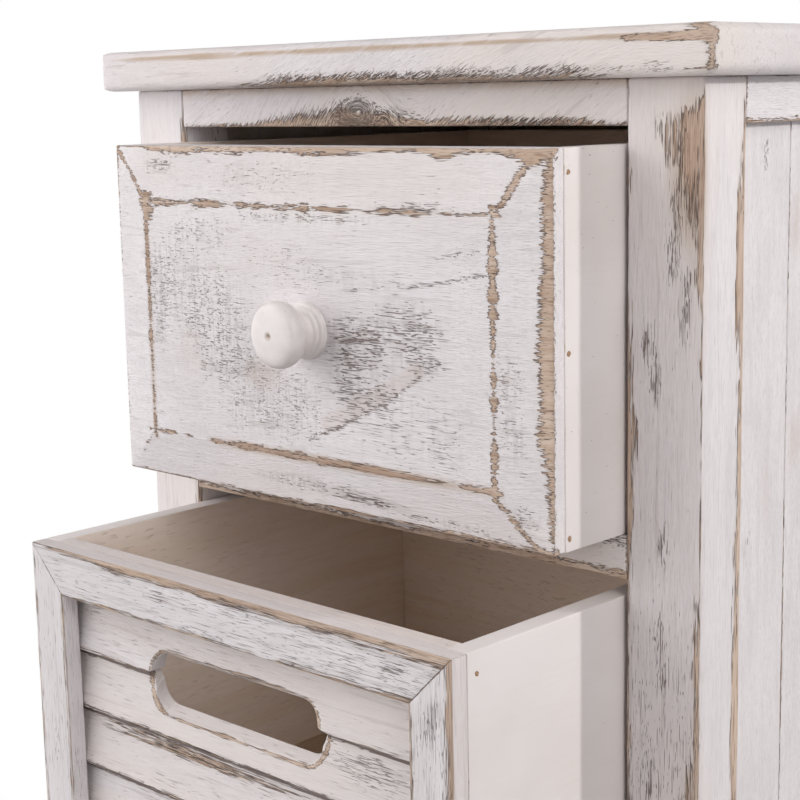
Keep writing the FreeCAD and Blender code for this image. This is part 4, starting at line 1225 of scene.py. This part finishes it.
def stage_floor(radius=1.7, segments=96):
    """A pale floor round the object that fades into the white of the backdrop."""
    g = Graph(bpy.data.materials.new("floor"))
    g.shader.inputs["Base Color"].default_value = (0.84, 0.84, 0.84, 1)
    g.shader.inputs["Roughness"].default_value = 0.9
    place = g.node("ShaderNodeTexCoord").outputs["Object"]
    away = g.node("ShaderNodeVectorMath", {0: place}, operation="LENGTH").outputs["Value"]
    white = g.node("ShaderNodeEmission", {"Color": (1, 1, 1, 1), "Strength": 1})
    g.show(g.mul(g.ramp(away, 0.55, 1.5), g.seen()), white)
    turn = np.linspace(0, 2 * math.pi, segments, endpoint=False)
    rim = [(radius * math.cos(a), radius * math.sin(a), 0) for a in turn]
    mesh = bpy.data.meshes.new("floor")
    mesh.from_pydata(rim, [], [list(range(segments))])
    mesh.materials.append(g.owner)
    floor = bpy.data.objects.new("floor", mesh)
    scene.collection.objects.link(floor)


def stage_world():
    """A faint even light, with a white backdrop where the camera looks."""
    scene.world = bpy.data.worlds.new("studio")
    g = Graph(scene.world, "Background", "World Output")
    g.shader.inputs["Color"].default_value = (1, 0.985, 0.985, 1)
    g.shader.inputs["Strength"].default_value = 0.05
    g.show(g.seen(), g.node("ShaderNodeBackground", {"Color": (1, 1, 1, 1)}))


def lamp(name, place, target, width, height, power, colour):
    light = bpy.data.lights.new(name, "AREA")
    light.shape = "RECTANGLE"
    light.size = width
    light.size_y = height
    light.energy = power
    light.color = colour
    made = bpy.data.objects.new(name, light)
    made.location = place
    made.rotation_euler = (Vector(target) - Vector(place)).to_track_quat("-Z", "Y").to_euler()
    scene.collection.objects.link(made)


def place_camera(place, azimuth, pitch_down, roll):
    """The camera at this place, with its angles in degrees; at azimuth 0 it looks along +y."""
    azimuth, pitch_down, roll = (math.radians(a) for a in (azimuth, pitch_down, roll))
    reach = math.cos(pitch_down)
    ahead = Vector((-math.sin(azimuth) * reach, math.cos(azimuth) * reach, -math.sin(pitch_down)))
    level = Vector((math.cos(azimuth), math.sin(azimuth), 0))
    upward = level.cross(ahead)
    side_axis = level * math.cos(roll) + upward * math.sin(roll)
    up_axis = upward * math.cos(roll) - level * math.sin(roll)
    pose = Matrix((side_axis, up_axis, -ahead)).transposed().to_4x4()
    pose.translation = place
    lens = bpy.data.cameras.new("camera")
    lens.lens = 77.41
    lens.sensor_width = 36
    lens.sensor_fit = "HORIZONTAL"
    lens.clip_start = 0.01
    camera = bpy.data.objects.new("camera", lens)
    camera.matrix_world = pose
    scene.collection.objects.link(camera)
    scene.camera = camera


stage_floor()
stage_world()
lamp("key", (2.6, 1.75, 2.1), (0.12, -0.1, 1.1), 0.14, 0.14, 46, (1, 0.98, 0.965))
lamp("left", (-1.2, -0.85, 1.45), (0, -0.08, 1.15), 1.8, 1.8, 16.9, (1, 0.985, 0.985))
lamp("high", (-0.9, -1.30, 2.15), (0, -0.08, 1.1), 1.7, 1.7, 10.6, (1, 0.985, 0.975))
lamp("right", (1.6, -0.8, 1.65), (0, -0.14, 1.05), 0.8, 1.1, 8.5, (1, 0.985, 0.97))
lamp("near", (0.9, -0.35, 1.75), (0.1, -0.14, 1.1), 0.6, 0.8, 3.7, (1, 0.985, 0.97))
lamp("front", (-0.25, -2, 1.28), (0, -0.14, 1.05), 1.5, 1.5, 7.6, (1, 0.985, 0.97))
place_camera((0.50197, -0.58774, 1.26578), 43.964, 10.065, -1.233)
scene.view_settings.view_transform = "Standard"
